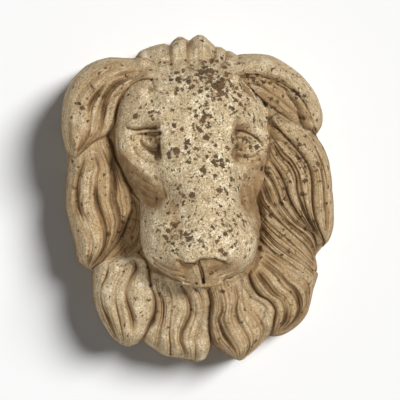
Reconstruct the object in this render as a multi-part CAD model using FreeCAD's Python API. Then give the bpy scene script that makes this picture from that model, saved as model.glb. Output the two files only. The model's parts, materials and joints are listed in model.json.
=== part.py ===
import FreeCAD, Part
import math
import os

# A wall fountain: a cast stone lion mask with a water spout in its mouth, the pipework behind it,
# a bar set into its hollow back and the wall plate with hooks that the bar hangs on.
# Millimetres. The wall is the plane y = 0, the mask stands out towards -Y, +X is right and +Z is up.
# Sizes below are measured from the middle of the mask; each piece is then moved down so that the
# origin lies at the middle of the wall plate's back face, where the fountain is fixed.

# Mask, driving sizes
rim_depth = 34.0            # straight edge between the wall and the start of the carved front
roll_width = 26.0           # how far in from the outline the edge rounds over
mane_outer = 70.0           # height of the hair above the wall near the outline
mane_inner = 96.0           # height of the hair where it meets the face
grid_cells = 97             # cells of the net that shapes the carved surface, each way
surface_degree = 2
patch_spans = 12            # spans of that surface in one face

# Outline of the mask seen from the front, clockwise from the top
outline_points = [
    (1, 225), (8, 224), (15, 218), (25, 209), (33, 208), (40, 203), (47, 203), (53, 198), (57, 195),
    (71, 199), (84, 199), (100, 197), (112, 192), (128, 182), (141, 172), (154, 158), (165, 141),
    (171, 124), (173, 113), (171, 100), (165, 90), (167, 80),
    (174, 70), (181, 52), (184, 36), (186, 10), (188, -16), (188, -39), (182, -58), (176, -65),
    (164, -81), (167, -97), (164, -113), (160, -126), (156, -147), (151, -162), (143, -173),
    (131, -183), (117, -190), (101, -192), (94, -196),
    (88, -203), (75, -215), (65, -224), (58, -226), (51, -223), (43, -217), (31, -213), (21, -206),
    (17, -213), (12, -222), (4, -227), (-10, -224), (-28, -221), (-47, -218), (-62, -207),
    (-75, -198), (-84, -202), (-95, -206), (-106, -203), (-117, -195), (-128, -180), (-137, -162),
    (-143, -145), (-145, -125), (-145, -102), (-153, -98), (-160, -93), (-167, -88),
    (-169, -68), (-173, -51), (-178, -32), (-182, -17), (-183, 0), (-182, 17), (-180, 46),
    (-182, 64), (-185, 78), (-188, 95), (-188, 112), (-184, 142), (-173, 164), (-155, 182),
    (-138, 190), (-121, 194), (-104, 193), (-89, 192),
    (-85, 196), (-79, 203), (-64, 209), (-46, 213), (-39, 210), (-35, 216), (-27, 222), (-21, 222),
    (-16, 219), (-12, 217), (-6, 221),
]

# Locks of hair: centre line from root to tip, half width, lift above the hair around it
locks = [
    ([(-90, 178), (-128, 166), (-155, 138), (-163, 105), (-161, 62)], 34, 28),
    ([(52, 180), (98, 182), (132, 160), (154, 128), (160, 98)], 19, 20),
    ([(72, 160), (104, 140), (132, 112), (150, 100)], 22, -8),
    ([(-150, 60), (-158, 20), (-157, -20), (-148, -55), (-136, -84)], 36, 10),
    ([(-96, -72), (-108, -110), (-106, -150), (-95, -188)], 44, 12),
    ([(-48, -112), (-44, -150), (-30, -190), (-8, -214)], 38, 10),
    ([(28, -130), (36, -165), (56, -200), (60, -218)], 40, 12),
    ([(84, -104), (112, -120), (128, -148), (116, -180)], 32, 12),
    ([(98, -48), (126, -66), (146, -88), (158, -112)], 26, 12),
    ([(86, 20), (104, -12), (136, -40), (160, -56)], 16, 10),
    ([(112, 96), (146, 74), (168, 36), (172, -10), (172, -52)], 18, 12),
    ([(108, 60), (134, 30), (142, -6), (152, -36)], 16, 8),
    ([(-60, 172), (-62, 206)], 22, 8),
    ([(-24, 168), (-24, 218)], 18, 14),
    ([(8, 168), (2, 222)], 15, 16),
    ([(36, 168), (30, 208)], 18, 10),
]

# Deep places of the hair beside the left cheek and the left temple: middle, half sizes and depth
hollows = [(-94, -30, 20, 50, 34), (-117, 76, 13, 44, 18)]

hair_floor = 59.0           # least height of the hair above the wall inside the rounded edge
floor_blend = 8.0

# Where the hair grows out of the head without a step: it starts above the brow and ends by the right ear
drape_low = 124.0
drape_low_fade = 16.0
drape_top = 214.0
drape_top_fade = 30.0
drape_right = 66.0
drape_right_fade = 24.0

# Grooves between the strands
groove_depth = 6.5
groove_half = 5.5
grooves = [
    [(-27, 143), (-39, 206)],
    [(-9, 143), (-13, 212)],
    [(15, 142), (24, 204)],
    [(25, 142), (36, 178), (39, 198)],
    [(66, 165), (93, 162), (118, 150), (143, 129), (152, 108)],
    [(68, 157), (91, 157), (115, 147), (139, 127), (152, 102)],
    [(75, 149), (88, 147), (105, 137), (150, 98)],
    [(78, 144), (150, 95)],
    [(78, 140), (125, 104), (151, 92)],
    [(102, 114), (145, 82), (162, 60), (171, 23), (174, -45)],
    [(105, 97), (137, 64), (151, 42), (155, 26), (158, -20), (167, -46)],
    [(100, 75), (111, 58), (129, 37), (139, -6), (162, -51)],
    [(96, 55), (112, 28), (129, -13), (161, -54)],
    [(91, 40), (103, 19), (116, -12), (131, -31), (154, -47), (160, -55)],
    [(88, 17), (97, -3), (108, -20), (119, -33), (146, -57), (158, -76)],
    [(84, 4), (91, -13), (143, -61), (153, -74)],
    [(86, -25), (158, -93)],
    [(86, -44), (107, -65), (143, -89), (158, -102)],
    [(86, -57), (102, -73), (152, -110)],
    [(92, -77), (140, -111), (149, -128), (149, -144), (143, -159), (132, -172), (116, -184)],
    [(89, -88), (129, -123), (137, -140), (138, -151), (135, -162), (115, -182)],
    [(81, -100), (101, -127), (113, -136), (119, -146), (118, -164), (108, -183)],
    [(72, -109), (82, -126), (98, -140), (104, -149), (106, -157), (103, -179)],
    [(16, -122), (20, -139), (18, -170), (21, -193)],
    [(28, -123), (33, -147), (29, -168), (36, -186), (54, -215)],
    [(48, -116), (54, -133), (51, -149), (53, -160), (70, -197), (66, -213)],
    [(58, -113), (64, -143), (88, -177), (85, -193), (76, -208)],
    [(-62, -102), (-55, -152), (-58, -165), (-70, -186)],
    [(-53, -106), (-54, -120), (-48, -136), (-46, -150), (-54, -203)],
    [(-41, -110), (-34, -141), (-38, -184), (-37, -211)],
    [(-20, -117), (-10, -149), (-12, -161), (-23, -188), (-17, -214)],
    [(-3, -119), (6, -137), (7, -150), (6, -166), (-2, -190), (-2, -216)],
    [(-121, -93), (-130, -122), (-131, -137), (-107, -197)],
    [(-102, -86), (-99, -99), (-109, -118), (-111, -133), (-100, -195)],
    [(-86, -82), (-82, -95), (-92, -113), (-96, -129), (-87, -167), (-90, -194)],
    [(-94, 8), (-90, -11), (-92, -24), (-109, -60), (-132, -87)],
    [(-87, 1), (-83, -23), (-86, -39), (-97, -61), (-116, -81)],
    [(-80, -7), (-77, -30), (-80, -50), (-91, -69), (-108, -85)],
    [(-70, -17), (-68, -41), (-71, -62), (-82, -76), (-100, -89)],
    [(-152, 52), (-162, 22), (-163, 4), (-161, -16), (-142, -62), (-148, -89)],
    [(-137, 56), (-133, 39), (-137, 21), (-136, 0), (-125, -36), (-124, -52), (-127, -72), (-141, -90)],
    [(-123, 63), (-114, 36), (-113, -1), (-107, -37), (-115, -62), (-136, -88)],
    [(-118, 70), (-113, 51), (-91, 9), (-89, -12), (-105, -56), (-131, -89)],
    [(-98, 177), (-116, 172), (-133, 163), (-147, 151), (-159, 136), (-166, 119), (-171, 97),
     (-172, 82), (-168, 63)],
    [(-94, 167), (-118, 157), (-140, 130), (-144, 116), (-145, 87), (-156, 64)],
    [(-88, 161), (-107, 152), (-119, 140), (-126, 123), (-131, 89), (-152, 65)],
    [(-87, 151), (-107, 130), (-116, 95), (-152, 63)],
]

# Head: its outline from the front, and the height of its surface above the wall on a net of points
carving_allowance = 2.5     # the main shapes stay this far below the crests of the fine carving
head_outline = [
    (0, 188), (-50, 182), (-86, 162), (-104, 132), (-109, 108), (-112, 82), (-110, 63), (-105, 48),
    (-98, 33), (-90, 18), (-85, 6), (-80, -5), (-78, -20), (-78, -50), (-74, -70), (-65, -86),
    (-50, -99), (-32, -108), (-12, -113), (7, -116), (30, -111), (50, -104), (65, -96), (76, -82),
    (80, -68), (81, -50), (79, -34), (80, -20), (83, -5), (87, 15), (91, 34), (95, 48), (98, 64),
    (99, 88), (98, 110), (91, 131), (76, 145), (62, 158), (44, 178),
]
head_roll = 9.0
net_left = -112.0
net_top = 185.0
net_step_x = 14.0
net_step_z = 15.0
head_net = [
    (50, 60, 70, 78, 84, 88, 90, 92, 92, 92, 90, 86, 80, 72, 62, 52),
    (60, 76, 88, 97, 103, 107, 110, 111, 112, 111, 109, 104, 97, 87, 74, 60),
    (68, 88, 101, 110, 116, 120, 122, 123, 124, 123, 121, 117, 110, 99, 84, 66),
    (74, 97, 110, 119, 125, 129, 131, 132, 133, 132, 130, 126, 119, 108, 92, 72),
    (88, 106, 117, 125, 131, 135, 137, 138, 139, 138, 136, 133, 126, 114, 98, 80),
    (97, 111, 121, 129, 136, 140, 141, 142, 142, 142, 141, 138, 130, 118, 104, 86),
    (99, 113, 122, 129, 137, 143, 144, 145, 145, 145, 144, 141, 131, 118, 106, 90),
    (98, 112, 119, 125, 134, 145, 147, 148, 148, 148, 147, 143, 130, 116, 105, 90),
    (96, 110, 118, 123, 131, 146, 150, 151, 151, 151, 150, 145, 128, 114, 104, 88),
    (84, 104, 120, 126, 131, 144, 151, 154, 155, 154, 153, 147, 128, 113, 102, 84),
    (60, 88, 112, 124, 130, 142, 150, 156, 158, 158, 156, 149, 130, 111, 98, 78),
    (50, 68, 98, 114, 123, 137, 149, 157, 161, 162, 160, 152, 130, 106, 90, 72),
    (44, 52, 84, 101, 113, 132, 149, 160, 166, 167, 165, 157, 132, 100, 84, 66),
    (40, 46, 68, 94, 112, 140, 157, 167, 172, 174, 171, 163, 145, 106, 82, 60),
    (40, 50, 92, 134, 150, 161, 169, 175, 179, 180, 178, 172, 163, 138, 94, 60),
    (40, 50, 98, 141, 157, 168, 176, 182, 186, 187, 184, 179, 171, 157, 118, 64),
    (40, 50, 98, 142, 159, 171, 180, 188, 192, 193, 190, 184, 175, 160, 124, 64),
    (40, 48, 90, 136, 155, 169, 181, 192, 197, 198, 195, 186, 173, 155, 116, 62),
    (40, 46, 72, 118, 144, 162, 176, 187, 191, 192, 189, 179, 163, 140, 96, 58),
    (40, 44, 56, 88, 120, 145, 164, 176, 181, 181, 176, 163, 142, 106, 70, 52),
    (40, 42, 46, 58, 84, 118, 146, 160, 164, 162, 154, 134, 102, 68, 54, 46),
]

# Features of the face: swellings and hollows (middle, half sizes, height) and ridges and grooves along lines
face_spots = [
    (-66, 76, 22, 12, -5), (-63, 78, 11, 7, 9), (-54, 54, 6, 8, -7),
    (64, 76, 18, 13, -5), (58, 76, 11, 8, 8), (52, 54, 6, 9, -7),
    (-60, -20, 18, 14, 4), (30, -93, 15, 9, -6), (-12, -90, 10, 6, -4), (-47, -38, 12, 26, 2),
]
face_lines = [
    ([(-108, 64), (-91, 48), (-77, 36), (-64, 30), (-52, 26)], 5, 4.5),
    ([(-88, 10), (-80, -1), (-66, -8), (-54, -10), (-46, -8), (-42, 0)], 4, -6),
    ([(-49, 30), (-45, 14), (-42, 2), (-40, -6)], 4, -3),
    ([(-38, 16), (-30, -9), (-29, -30), (-33, -48), (-27, -62)], 9, -3),
    ([(54, 42), (53, 22), (58, 2), (61, -12), (69, -21), (77, -36)], 4, -5),
    ([(90, 70), (84, 50), (72, 38), (62, 28)], 7, 4),
    ([(-64, 158), (-60, 140), (-57, 122), (-54, 106)], 7, -3.5),
    ([(-98, 100), (-88, 97), (-72, 98), (-54, 98)], 5, 3.5),
    ([(-97, 94), (-84, 90), (-71, 91), (-51, 92)], 4, -3),
    ([(-84, 84), (-64, 84), (-47, 84)], 4, -4),
    ([(49, 99), (62, 98), (78, 93), (92, 82)], 4, 3),
    ([(49, 88), (60, 88), (71, 84), (81, 77), (90, 68)], 4, -3),
    ([(2, -80), (4, -87), (7, -97), (8, -112)], 4, -4),
]
bridge_edges = [(-1, 50.0, 15.0), (1, 47.5, 13.5)]
bridge_low = 34.0           # the steps beside the bridge of the nose start here and end at the brow
bridge_low_fade = 30.0
bridge_high = 116.0
bridge_high_fade = 26.0
nose_left = -27.0
nose_right = 47.0
nose_middle = 0.0           # where the nose's lower edge steps up
nose_low = -82.0            # that edge left of the step
nose_step = 6.5
nose_step_width = 6.0
nose_undercut = 8.5
nose_left_fade = 11.0
nose_right_fade = 14.0
nose_under_fade = 5.0
chin = (11, -115, 23, 12, 60, 112, 2.2)

# Hollow back, pockets and the channel for the hose
back_recess_width = 200.0
back_recess_bottom = -112.0
back_recess_top = 122.0
back_recess_depth = 46.0
deep_recess_width = 112.0
deep_recess_bottom = -66.0
deep_recess_top = 96.0
deep_recess_depth = 76.0
recess_corner = 18.0
spout_x = 6.0
spout_z = -98.0
spout_pocket_width = 64.0
spout_pocket_height = 62.0
spout_pocket_depth = 60.0
channel_width = 62.0
channel_depth = 40.0
channel_bottom = -240.0

# Mouth cavity under the upper lip
mouth_width = 44.0
mouth_back = 116.0
mouth_front = 154.0
mouth_roof = -82.0
mouth_open_bottom = -117.0
mouth_corner = 9.0

# Pipework, 15 mm copper tube with compression fittings
pipe_radius = 7.5
pipe_wall = 0.7
fit_gap = 0.05
bore_radius = 9.5
spout_end = 134.0
drop_axis = 22.0            # distance of the vertical pipe's axis from the wall
elbow_leg = 27.0
elbow_radius = 9.6
elbow_thread = 9.0
pipe_stop = 10.0
nut_across_flats = 24.0
nut_length = 15.5
olive_length = 3.2
olive_radius = 9.0
tail_collar_z = -177.0       # top of the collar between the socket and the tail
tail_collar_length = 9.0
tail_bore = 4.6
tail_radius = 6.35
tail_plain_length = 14.0
barb_crest = 7.0
barb_count = 2
barb_pitch = 6.0

# Saddle clip that holds the vertical pipe
clip_z = -147.0
clip_height = 16.0
clip_thickness = 1.6
clip_ear = 13.0
screw_length = 20.0
screw_shank = 1.9
screw_head_radius = 4.0
screw_head_height = 2.4
plug_radius = 3.0
plug_length = 22.0

# Hanging bar and wall plate
bar_radius = 5.0
bar_z = 92.0
bar_y = 22.0
bar_embed = 22.0
grout_radius = 8.0
plate_width = 164.0
plate_height = 56.0
plate_thickness = 3.0
plate_corner = 8.0
plate_z = 88.0
plate_hole_radius = 3.5
plate_hole_dx = 136.0
plate_hole_dz = 36.0
hook_x = 45.0
hook_width = 30.0
hook_thickness = 5.0
hook_gap = 0.3
hook_lip = 14.0

os.makedirs("parts", exist_ok=True)


def vec(x, y, z):
    return FreeCAD.Vector(x, y, z)


def box(x0, x1, y0, y1, z0, z1):
    return Part.makeBox(x1 - x0, y1 - y0, z1 - z0, vec(x0, y0, z0))


def rod(radius, start, end):
    axis = end - start
    return Part.makeCylinder(radius, axis.Length, start, axis)


def tube(outer, inner, start, end):
    return rod(outer, start, end).cut(rod(inner, start, end))


def rounded_block(x0, x1, depth0, depth1, z0, z1, corner):
    # A block with its edges along Y rounded, from depth0 to depth1 in front of the wall
    block = box(x0, x1, -depth1, -depth0, z0, z1)
    edges = [e for e in block.Edges if abs(e.tangentAt(e.FirstParameter).y) > 0.99]
    return block.makeFillet(corner, edges)


def save(name, shape):
    shape.translate(vec(0, 0, -plate_z))
    shape.exportStep("parts/" + name + ".step")
    print(name, "solids", len(shape.Solids), "valid", shape.isValid(), "cm3", round(shape.Volume / 1000, 1))


# Shape of the carved front: height above the wall at a point of the front view

def smooth_max(a, b, k):
    h = max(k - abs(a - b), 0.0) / k
    return max(a, b) + h * h * k / 4


def smooth_step(t):
    t = min(max(t, 0.0), 1.0)
    return t * t * (3 - 2 * t)


def line_distance(x, z, points):
    # Distance to a chain of straight pieces
    best = 1e9
    for (x0, z0), (x1, z1) in zip(points, points[1:]):
        dx = x1 - x0
        dz = z1 - z0
        t = ((x - x0) * dx + (z - z0) * dz) / (dx * dx + dz * dz)
        t = min(max(t, 0.0), 1.0)
        best = min(best, (x - x0 - t * dx) ** 2 + (z - z0 - t * dz) ** 2)
    return math.sqrt(best)


def polar(points):
    return sorted((math.atan2(z, x), math.hypot(x, z)) for x, z in points)


outline_polar = polar(outline_points)
head_polar = polar(head_outline)


def polar_radius(angle, table):
    # Radius of an outline at an angle, straight between its points in polar form
    a1, r1 = table[0]
    a0, r0 = table[-1]
    a0 -= 2 * math.pi
    for following in table[1:] + [(table[0][0] + 2 * math.pi, table[0][1])]:
        if a0 <= angle <= a1:
            return r0 + (r1 - r0) * (angle - a0) / (a1 - a0)
        a0, r0 = a1, r1
        a1, r1 = following
    return r0 + (r1 - r0) * (angle - a0) / (a1 - a0)


def swelling(x, z, part):
    # Height of a rounded block: base + (top - base) * (1 - |dx|^p - |dz|^p)^(1/p)
    cx, cz, rx, rz, base, top, p = part
    q = abs((x - cx) / rx) ** p + abs((z - cz) / rz) ** p
    if q >= 1:
        return base - 30 * (q - 1)
    return base + (top - base) * (1 - q) ** (1 / p)


def bump(x, z, place):
    cx, cz, rx, rz, size = place
    q = ((x - cx) / rx) ** 2 + ((z - cz) / rz) ** 2
    return size * math.exp(-q)


def spline_weights(t):
    # Weights of the uniform cubic spline
    return [(1 - t) ** 3 / 6, (3 * t ** 3 - 6 * t * t + 4) / 6,
            (-3 * t ** 3 + 3 * t * t + 3 * t + 1) / 6, t ** 3 / 6]


def net_height(x, z):
    rows = len(head_net)
    columns = len(head_net[0])
    u = min(max((x - net_left) / net_step_x, 0.0), columns - 1.001)
    v = min(max((net_top - z) / net_step_z, 0.0), rows - 1.001)
    i = int(u)
    j = int(v)
    height = 0.0
    for b, across in enumerate(spline_weights(v - j)):
        row = head_net[min(max(j + b - 1, 0), rows - 1)]
        for a, along in enumerate(spline_weights(u - i)):
            height += across * along * row[min(max(i + a - 1, 0), columns - 1)]
    return height


def hair_height(x, z):
    radius = math.hypot(x, z)
    edge = polar_radius(math.atan2(z, x), outline_polar) - radius
    inward = smooth_step(edge / 110)
    height = mane_outer + (mane_inner - mane_outer) * inward
    lift = 0.0
    for points, half, size in locks:
        d = line_distance(x, z, points) / half
        if d < 1:
            rise = size * math.sqrt(1 - d * d)
            lift = rise if size < 0 and lift == 0 else max(lift, rise)
    height += lift
    for points in grooves:
        d = line_distance(x, z, points) / groove_half
        if d < 2.5:
            height -= groove_depth * math.exp(-d * d)
    for place in hollows:
        height -= bump(x, z, place)
    share = smooth_step((drape_top - z) / drape_top_fade) * smooth_step((z - drape_low) / drape_low_fade)
    share *= smooth_step((drape_right - x) / drape_right_fade)
    height += share * max(net_height(x, z) - height, 0.0)
    height = smooth_max(height, hair_floor + carving_allowance, floor_blend) - carving_allowance
    roll = min(max(edge / roll_width, 0.0), 1.0)
    return rim_depth + (height - rim_depth) * math.sqrt(1 - (1 - roll) ** 2)


def head_height(x, z):
    height = net_height(x, z) - carving_allowance
    for side, edge, drop in bridge_edges:
        outside = side * x - edge
        level = smooth_step((z - bridge_low) / bridge_low_fade)
        level *= smooth_step((bridge_high - z) / bridge_high_fade)
        height -= drop * level * smooth_step((outside + 2) / 6) * (1 - smooth_step((outside - 6) / 40))
    for place in face_spots:
        height += bump(x, z, place)
    for points, half, size in face_lines:
        d = line_distance(x, z, points) / half
        if d < 2.5:
            height += size * math.exp(-d * d)
    lower_edge = nose_low + nose_step * smooth_step((x - nose_middle) / nose_step_width + 0.5)
    across = smooth_step((x - nose_left) / nose_left_fade) * smooth_step((nose_right - x) / nose_right_fade)
    height -= nose_undercut * across * smooth_step((lower_edge - z) / nose_under_fade)
    edge = line_distance(x, z, head_outline + head_outline[:1])
    if math.hypot(x, z) > polar_radius(math.atan2(z, x), head_polar):
        return rim_depth - edge
    roll = min(edge / head_roll, 1.0)
    return rim_depth + (height - rim_depth) * math.sqrt(1 - (1 - roll) ** 2.4)


def front_height(x, z):
    height = smooth_max(hair_height(x, z), swelling(x, z, chin), 6)
    return smooth_max(height, head_height(x, z), 3)


def disc_point(s, t):
    # Maps a square, s and t from -1 to 1, onto the area inside the outline
    if s == 0 and t == 0:
        return 0.0, 0.0
    if abs(s) > abs(t):
        reach = abs(s)
        angle = math.pi / 4 * (t / s)
        if s < 0:
            angle += math.pi
    else:
        reach = abs(t)
        angle = math.pi / 2 - math.pi / 4 * (s / t)
        if t < 0:
            angle += math.pi
    angle = math.atan2(math.sin(angle), math.cos(angle))
    radius = reach * polar_radius(angle, outline_polar)
    return radius * math.cos(angle), radius * math.sin(angle)


def spline_surface(rows):
    knots, mults = clamped_knots(len(rows))
    surface = Part.BSplineSurface()
    surface.buildFromPolesMultsKnots(rows, mults, mults, knots, knots, False, False,
                                     surface_degree, surface_degree)
    return surface


def spline_edge(points, first, last):
    knots, mults = clamped_knots(len(points))
    curve = Part.BSplineCurve()
    curve.buildFromPolesMultsKnots(points, mults, knots, False, surface_degree)
    curve.segment(first, last)
    return curve.toShape()


def clamped_knots(count):
    spans = count - surface_degree
    knots = [float(i) for i in range(spans + 1)]
    mults = [surface_degree + 1] + [1] * (spans - 1) + [surface_degree + 1]
    return knots, mults


def carved_block():
    rows = []
    for i in range(grid_cells + 1):
        row = []
        for j in range(grid_cells + 1):
            x, z = disc_point(2 * i / grid_cells - 1, 2 * j / grid_cells - 1)
            row.append(vec(x, -front_height(x, z), z))
        rows.append(row)
    front = spline_surface(rows)
    spans = grid_cells + 1 - surface_degree
    cuts = list(range(0, spans + 1, patch_spans))
    faces = []
    for u0, u1 in zip(cuts, cuts[1:]):
        for v0, v1 in zip(cuts, cuts[1:]):
            patch = front.copy()
            patch.segment(u0, u1, v0, v1)
            faces.append(patch.toShape())
    wall_edges = []
    for border in (rows[0], [row[-1] for row in rows], rows[-1][::-1], [row[0] for row in rows][::-1]):
        for c0, c1 in zip(cuts, cuts[1:]):
            upper = spline_edge(border, c0, c1)
            lower = spline_edge([vec(p.x, 0, p.z) for p in border], c0, c1)
            faces.append(Part.makeRuledSurface(upper, lower))
            wall_edges.append(lower)
    faces.append(Part.Face(Part.Wire(wall_edges)))
    shell = Part.Shell(faces)
    shell.sewShape()
    solid = Part.Solid(shell)
    if solid.Volume < 0:
        solid.reverse()
    return solid


def stone_mask():
    half = back_recess_width / 2
    deep = deep_recess_width / 2
    tools = [
        rounded_block(-half, half, -1, back_recess_depth, back_recess_bottom, back_recess_top, recess_corner),
        rounded_block(-deep, deep, -1, deep_recess_depth, deep_recess_bottom, deep_recess_top, recess_corner),
        rounded_block(spout_x - spout_pocket_width / 2, spout_x + spout_pocket_width / 2, -1,
                      spout_pocket_depth, spout_z - spout_pocket_height / 2,
                      spout_z + spout_pocket_height / 2, mouth_corner),
        box(spout_x - channel_width / 2, spout_x + channel_width / 2, -channel_depth, 1,
            channel_bottom, spout_z),
        rod(bore_radius, vec(spout_x, -spout_pocket_depth + 1, spout_z),
            vec(spout_x, -mouth_back - 1, spout_z)),
        mouth_cavity(),
    ]
    for side in (-1, 1):
        inner = vec(side * (half - 1), -bar_y, bar_z)
        outer = vec(side * (half + bar_embed + 1), -bar_y, bar_z)
        tools.append(rod(grout_radius, inner, outer))
        plug_x = spout_x + side * clip_hole_offset()
        tools.append(rod(plug_radius + fit_gap, vec(plug_x, -channel_depth + 1, clip_z),
                         vec(plug_x, -channel_depth - plug_length - 0.5, clip_z)))
    block = carved_block()
    for tool in tools:
        block = block.cut(tool)
    return block


def mouth_cavity():
    x0 = spout_x - mouth_width / 2
    cavity = box(x0, x0 + mouth_width, -mouth_front, -mouth_back, mouth_open_bottom, mouth_roof)
    roof_edges = [e for e in cavity.Edges if e.BoundBox.ZMin > mouth_roof - 0.1]
    return cavity.makeFillet(mouth_corner, roof_edges)


def clip_hole_offset():
    return pipe_radius + clip_thickness + clip_ear / 2


# Water pipe: spout tube, elbow, drop tube and hose tail, joined by compression fittings

def spout_pipe():
    start = vec(spout_x, -drop_axis - pipe_stop, spout_z)
    return tube(pipe_radius, pipe_radius - pipe_wall, start, vec(spout_x, -spout_end, spout_z))


def spout_mortar():
    start = vec(spout_x, -spout_pocket_depth, spout_z)
    return tube(bore_radius - fit_gap, pipe_radius + fit_gap, start, vec(spout_x, -mouth_back, spout_z))


def elbow_body():
    # Two socketed legs that meet at the corner, with a stop for the tube inside each
    corner = vec(spout_x, -drop_axis, spout_z)
    body = Part.makeSphere(elbow_radius, corner)
    hollow = Part.makeSphere(pipe_radius - pipe_wall - 0.6, corner)
    for direction in (vec(0, -1, 0), vec(0, 0, -1)):
        stop = corner + direction * pipe_stop
        shoulder = corner + direction * (elbow_leg - elbow_thread)
        end = corner + direction * elbow_leg
        body = body.fuse(rod(elbow_radius + 1.2, corner + direction * 4, shoulder))
        body = body.fuse(rod(elbow_radius, shoulder, end))
        hollow = hollow.fuse(rod(pipe_radius - pipe_wall - 0.6, corner, stop))
        hollow = hollow.fuse(rod(pipe_radius + fit_gap, stop, end))
    return body.cut(hollow)


def hex_nut(start, direction):
    # Hexagon nut that closes onto the tube at its outer end and leaves room for the olive
    end = start + direction * nut_length
    across_corners = nut_across_flats / math.sqrt(3)
    side = vec(1, 0, 0)
    other = direction.cross(side)
    corners = []
    for i in range(7):
        angle = math.pi / 3 * i + math.pi / 6
        along_side = side * (across_corners * math.cos(angle))
        along_other = other * (across_corners * math.sin(angle))
        corners.append(start + along_side + along_other)
    nut = Part.Face(Part.makePolygon(corners)).extrude(direction * nut_length)
    chamfer = Part.makeCone(across_corners - 1.6, across_corners + nut_length * 1.6, nut_length * 1.9,
                            start, direction)
    other_chamfer = Part.makeCone(across_corners - 1.6, across_corners + nut_length * 1.6, nut_length * 1.9,
                                  end, direction * -1)
    nut = nut.common(chamfer).common(other_chamfer)
    nut = nut.cut(rod(elbow_radius + fit_gap, start - direction, start + direction * elbow_thread))
    nut = nut.cut(rod(olive_radius + fit_gap, start, end - direction * 2))
    return nut.cut(rod(pipe_radius + fit_gap, start, end + direction))


def olive(start, direction):
    # Barrel-shaped brass ring, turned about the tube
    end = start + direction * olive_length
    ring = rod(olive_radius, start, end)
    for place, way in ((start, 1), (end, -1)):
        cone = Part.makeCone(pipe_radius + 0.3, pipe_radius + 0.3 + olive_length, olive_length,
                             place, direction * way)
        ring = ring.common(cone)
    return ring.cut(rod(pipe_radius + fit_gap, start - direction, end + direction))


def joint_starts():
    # Where the sockets of the elbow end, with the way out of each
    corner = vec(spout_x, -drop_axis, spout_z)
    return [(corner + way * elbow_leg, way) for way in (vec(0, -1, 0), vec(0, 0, -1))]


def elbow_nuts():
    return Part.Compound([hex_nut(place - way * elbow_thread, way) for place, way in joint_starts()])


def elbow_olives():
    return Part.Compound([olive(place, way) for place, way in joint_starts()])


def drop_pipe():
    start = vec(spout_x, -drop_axis, spout_z - pipe_stop)
    end = vec(spout_x, -drop_axis, tail_collar_z)
    return tube(pipe_radius, pipe_radius - pipe_wall, start, end)


def tail_socket():
    return vec(spout_x, -drop_axis, tail_collar_z + elbow_thread)


def hose_tail():
    # Straight body with a socket for the tube above, and below it a tail with two barbs and a plain end
    down = vec(0, 0, -1)
    top = tail_socket()
    collar = top + down * elbow_thread
    base = collar + down * tail_collar_length
    end = base + down * (barb_pitch * barb_count + tail_plain_length)
    body = rod(elbow_radius, top, collar)
    body = body.fuse(rod(elbow_radius + 1.6, collar, base))
    body = body.fuse(rod(tail_radius, base, end))
    for i in range(barb_count):
        place = base + down * (barb_pitch * i)
        body = body.fuse(Part.makeCone(barb_crest, tail_radius, barb_pitch, place, down))
    body = body.cut(rod(pipe_radius + fit_gap, top - down, collar))
    return body.cut(rod(tail_bore, top, end + down))


def hose_tail_nut():
    up = vec(0, 0, 1)
    return hex_nut(tail_socket() - up * elbow_thread, up)


def hose_tail_olive():
    return olive(tail_socket(), vec(0, 0, 1))


# Saddle clip, its screws and wall plugs

def pipe_clip():
    # Strip bent over the tube, with an ear each side that lies on the floor of the channel
    outer = pipe_radius + clip_thickness
    low = clip_z - clip_height / 2
    high = clip_z + clip_height / 2
    floor = -channel_depth
    axis_low = vec(spout_x, -drop_axis, low)
    axis_high = vec(spout_x, -drop_axis, high)
    strip = rod(outer, axis_low, axis_high)
    strip = strip.fuse(box(spout_x - outer, spout_x + outer, floor, -drop_axis, low, high))
    ear_reach = outer + clip_ear
    left = spout_x - ear_reach
    right = spout_x + ear_reach
    strip = strip.fuse(box(left, right, floor, floor + clip_thickness, low, high))
    inner = pipe_radius + fit_gap
    strip = strip.cut(rod(inner, axis_low, axis_high))
    strip = strip.cut(box(spout_x - inner, spout_x + inner, floor - 1, -drop_axis, low, high))
    for side in (-1, 1):
        hole_x = spout_x + side * clip_hole_offset()
        strip = strip.cut(rod(screw_shank + 0.3, vec(hole_x, floor - 1, clip_z),
                              vec(hole_x, floor + clip_thickness + 1, clip_z)))
    return strip


def clip_screw(side):
    # Round-headed screw with a slot, its shank in the plug
    x = spout_x + side * clip_hole_offset()
    seat = -channel_depth + clip_thickness
    shank = rod(screw_shank, vec(x, seat, clip_z), vec(x, seat - screw_length, clip_z))
    dome_radius = (screw_head_radius ** 2 + screw_head_height ** 2) / (2 * screw_head_height)
    dome = Part.makeSphere(dome_radius, vec(x, seat + screw_head_height - dome_radius, clip_z))
    head = rod(screw_head_radius, vec(x, seat, clip_z), vec(x, seat + screw_head_height, clip_z)).common(dome)
    slot = box(x - screw_head_radius, x + screw_head_radius, seat + screw_head_height - 1, seat + 5,
               clip_z - 0.5, clip_z + 0.5)
    return shank.fuse(head).cut(slot)


def clip_plug(side):
    x = spout_x + side * clip_hole_offset()
    return tube(plug_radius, screw_shank + fit_gap, vec(x, -channel_depth, clip_z),
                vec(x, -channel_depth - plug_length, clip_z))


# Hanging bar, grouted into the mask, and the wall plate with its hooks

def hanger_bar():
    reach = back_recess_width / 2 + bar_embed
    bar = rod(bar_radius, vec(-reach, -bar_y, bar_z), vec(reach, -bar_y, bar_z))
    return bar.makeChamfer(1.0, [e for e in bar.Edges if e.Curve.TypeId == "Part::GeomCircle"])


def bar_grout():
    sockets = []
    for side in (-1, 1):
        wall = side * back_recess_width / 2
        sockets.append(tube(grout_radius - fit_gap, bar_radius + fit_gap, vec(wall, -bar_y, bar_z),
                            vec(wall + side * bar_embed, -bar_y, bar_z)))
    return Part.Compound(sockets)


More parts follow.
